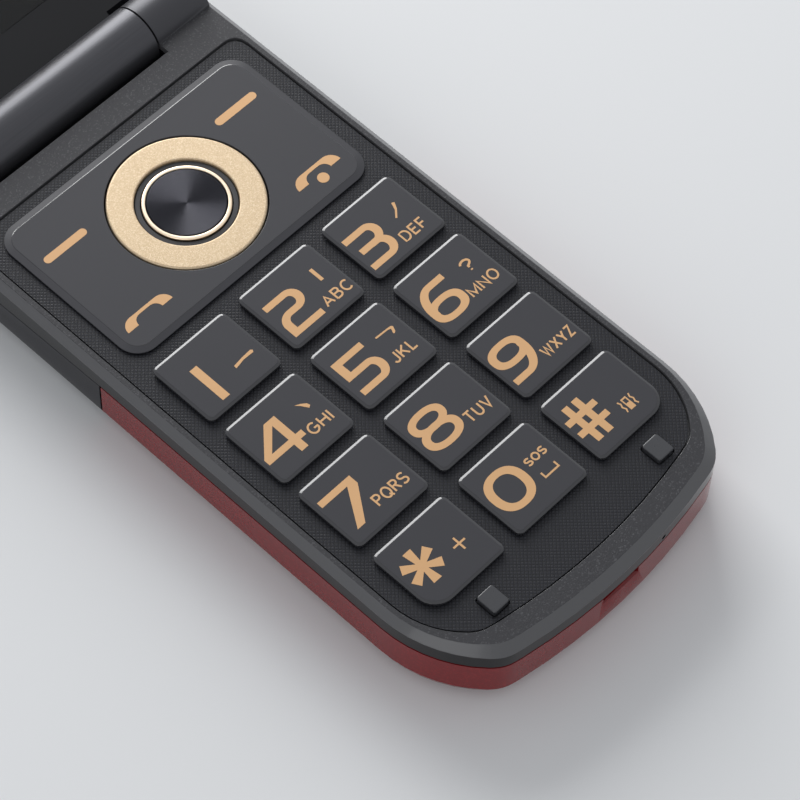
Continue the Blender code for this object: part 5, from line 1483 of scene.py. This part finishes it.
@dataclass
class Legends:
    """Every printed figure, letter and mark, as thin raised ink."""

    keys: KeyCaps
    ink: float = 0.016
    step: float = 0.002
    plate_top: float = 12.75
    plate_prints: list[Layer] = field(default_factory=lambda: [
        [pill(-20.575, 31.0, -12.95, 32.25)], [pill(12.2, 31.1, 19.9, 32.4)],
        [handset(-20.575, -12.35, 15.225, 16.975, 1.9, 16.475)],
        [handset(12.15, 20.275, 15.35, 17.225, 1.9, 16.625)],
        [oval((16.2, 14.725), (0.87, 0.87), 2.0, 32)]])

    def sheet(self, name: str, layer: Layer, at: Point, base: float) -> bpy.types.Object:
        """Cut flat ink from outlines.

        Args:
            name: The object's name.
            layer: Outlines, of which inner ones are holes.
            at: The key's centre.
            base: The height of the face under the ink.

        Returns:
            The ink as a mesh.
        """
        curve = bpy.data.curves.new(name, "CURVE")
        curve.dimensions = "2D"
        curve.fill_mode = "BOTH"
        curve.extrude = self.ink / 2.0
        for outline in layer:
            spline = curve.splines.new("POLY")
            spline.points.add(len(outline) - 1)
            for spot, (x, y) in zip(spline.points, outline):
                spot.co = (x, y, 0.0, 1.0)
            spline.use_cyclic_u = True
        return self.meshed(name, curve, Matrix.Translation((at[0], at[1], base)))

    def meshed(self, name: str, curve: bpy.types.Curve, place: Matrix) -> bpy.types.Object:
        """Turn a curve into a mesh.

        Args:
            name: The object's name.
            curve: The curve, in millimetres.
            place: Where it goes, in millimetres.

        Returns:
            The mesh in its place.
        """
        piece = bpy.data.objects.new(name, curve)
        bpy.context.collection.objects.link(piece)
        one_selected(piece)
        bpy.ops.object.convert(target="MESH")
        piece = bpy.context.object
        piece.data.transform(Matrix.Scale(MM, 4) @ place)
        with Bench(piece) as bench:
            bench.weld()
        return piece

    def stack(self, name: str, body: str, layers: Sequence[Layer], at: Point, top: float) -> None:
        """Lay inks on a body, each a hair above the last.

        Args:
            name: The start of the inks' names.
            body: The body they ride on.
            layers: The outlines of each ink.
            at: The key's centre.
            top: The height of the key's face.
        """
        for level, layer in enumerate(layers):
            ink = self.sheet(f"{name}_{level + 1}", layer, at, top + self.ink / 2.0 + level * self.step)
            fit(ink, body, INK)

    def build(self) -> None:
        """Print every key and the plate."""
        for name in self.keys.names:
            at = self.keys.place(name)
            body = f"button_{name}"
            self.stack(f"figure_{name}", body, FIGURES[name], at, self.keys.top)
            self.stack(f"mark_{name}", body, MARKS.get(name, []), at, self.keys.top)
            if name in WORDS:
                self.stack(f"word_{name}", body, WORDS[name].layers(), at, self.keys.top)
        self.stack("query", "button_6", QUERY.layers(), self.keys.place("6"), self.keys.top)
        self.stack("print_plate", "soft_key_plate", self.plate_prints, (0.0, 0.0), self.plate_top)


# Cases, lid and inside

@dataclass
class Cases:
    """The base's shells: rounded copies of the front case, panel, bumpers, rear case and cover."""

    deck: float = 12.4
    chamfer: float = 11.35
    panel_top: float = 12.15
    bumper_top: float = 12.95

    def build(self) -> None:
        """Make the finer shells."""
        finer("front_case", CASE, "case_shell", [
            Rounding(0.14, 4, sharp_at(self.deck, 20.0)),
            Rounding(0.12, 3, sharp_at(self.chamfer, 20.0))], 30.0)
        finer("keypad_panel", GRID, "panel_sheet", [Rounding(0.05, 2, sharp_at(self.panel_top, 40.0))])
        for side in ("left", "right"):
            finer(f"bumper_{side}", BUMPER, f"bumper_pad_{side}", [
                Rounding(0.18, 3, sharp_at(self.bumper_top, 40.0))])
        finer("rear_case", WALL_GLOSS, "rear_shell", [], 30.0)
        finer("battery_cover", RED_GLOSS, "cover_shell", [], 35.0)


@dataclass
class Lid:
    """The lid's shells, glass and small outer parts."""

    def build(self) -> None:
        """Make the finer lid pieces."""
        finer("lid_inner_case", SATIN, "lid_face", [], 30.0)
        finer("lid_outer_cover", RED_GLOSS, "lid_back", [], 35.0)
        finer("display_glass", GLASS, "lid_glass", [], 30.0)
        finer("camera_window", BLACK_GLASS, "camera_glass", [], 30.0)


@dataclass
class Inside:
    """The carried-over nodes, which keep their shape and get a finish."""

    finishes: dict[str, Finish] = field(default_factory=lambda: {
        finish.slot: finish for finish in (
            CASE, WALL_GLOSS, GRID, KEY, GOLD, SPUN, RUBBER, SILICONE, FILM, BOARD, RED_GLOSS, WRAP, STEEL,
            BLACK_PART, GLASS, SCREEN, LENS, AMBER)})

    def build(self) -> None:
        """Give each node the finish of its record slot."""
        for part in frame["record"]["subparts"]:
            node = frame["nodes"][part["node"]]
            node.data.materials.clear()
            node.data.materials.append(self.finishes[part["material_slot"]].material())
            LOG.info("node %s in %s", part["node"], part["material_slot"])


# Studio

@dataclass
class Studio:
    """Floor, world, lamps and camera."""

    target: Place = (-2.728, -18.043, 13.05)
    distance: float = 452.35
    azimuth: float = -48.84
    elevation: float = 57.863
    roll: float = 3.009
    lens: float = 153.378
    floor_reach: float = 3.0
    floor_colour: Colour = (0.78, 0.79, 0.80)
    wall_colour: Colour = (0.90, 0.92, 0.95)
    world_light: float = 0.52
    wall_light: float = 0.85

    def floor(self) -> None:
        """Lay a plain pale floor."""
        bpy.ops.mesh.primitive_plane_add(size=2.0 * self.floor_reach, location=(0.0, 0.0, 0.0))
        ground = bpy.context.object
        ground.name = "studio_floor"
        tree = Tree("pale_floor")
        slow = tree.noise(0.004)
        pale = tuple(part * 0.98 for part in self.floor_colour)
        ground.data.materials.append(tree.dress(base_color=tree.blend(slow, pale, self.floor_colour),
                                                roughness=0.75))

    def world(self) -> None:
        """Surround the scene with even light that shows as a pale wall."""
        world = bpy.data.worlds.new("studio_world")
        bpy.context.scene.world = world
        world.use_nodes = True
        nodes = world.node_tree.nodes
        links = world.node_tree.links
        path = nodes.new("ShaderNodeLightPath")
        seen = path.outputs["Is Camera Ray"]
        for ray in ("Is Glossy Ray", "Is Transmission Ray"):
            either = nodes.new("ShaderNodeMath")
            either.operation = "MAXIMUM"
            links.new(seen, either.inputs[0])
            links.new(path.outputs[ray], either.inputs[1])
            seen = either.outputs[0]
        level = nodes.new("ShaderNodeMapRange")
        level.inputs["To Min"].default_value = self.world_light
        level.inputs["To Max"].default_value = self.wall_light
        links.new(seen, level.inputs["Value"])
        back = nodes["Background"]
        back.inputs["Color"].default_value = (*self.wall_colour, 1.0)
        links.new(level.outputs[0], back.inputs["Strength"])

    def lamp(self, name: str, toward: Place, distance: float, size: float, power: float) -> None:
        """Hang a soft square lamp.

        Args:
            name: The lamp's name.
            toward: The direction from the phone to the lamp.
            distance: How far away it hangs, in metres.
            size: The side of the square, in metres.
            power: Its power in watts.
        """
        data = bpy.data.lights.new(name, "AREA")
        data.shape = "SQUARE"
        data.size = size
        data.energy = power
        lamp = bpy.data.objects.new(name, data)
        bpy.context.collection.objects.link(lamp)
        way = Vector(toward).normalized()
        lamp.location = way * distance
        lamp.rotation_euler = way.to_track_quat("Z", "Y").to_euler()

    def camera(self) -> None:
        """Stand the camera where the photograph was taken from."""
        data = bpy.data.cameras.new("photo_camera")
        data.sensor_width = 36.0
        data.lens = self.lens
        data.clip_start = 0.01
        data.clip_end = 50.0
        camera = bpy.data.objects.new("photo_camera", data)
        bpy.context.collection.objects.link(camera)
        turn, rise = math.radians(self.azimuth), math.radians(self.elevation)
        back = Vector((math.sin(turn) * math.cos(rise), -math.cos(turn) * math.cos(rise), math.sin(rise)))
        camera.location = (Vector(self.target) + back * self.distance) * MM
        look = (-back).to_track_quat("-Z", "Y").to_matrix().to_4x4()
        camera.rotation_euler = (look @ Matrix.Rotation(math.radians(self.roll), 4, "Z")).to_euler()
        bpy.context.scene.camera = camera

    def build(self) -> None:
        """Set up the studio."""
        bpy.context.scene.view_settings.view_transform = "Standard"
        self.floor()
        self.world()
        self.lamp("hinge_side", (0.40, 0.85, 0.42), 0.9, 0.60, 8.5)
        self.lamp("left_fill", (-0.8, -0.3, 0.6), 1.0, 0.6, 1.2)
        self.camera()


def main() -> None:
    """Build and dress the phone, in order."""
    logging.basicConfig(level=logging.INFO, format="%(message)s")
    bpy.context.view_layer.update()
    Inside().build()
    Cases().build()
    Lid().build()
    keys = KeyCaps()
    keys.build()
    FunctionPlate().build()
    Navigation().build()
    Legends(keys).build()
    Studio().build()


if __name__ == "__main__":
    main()
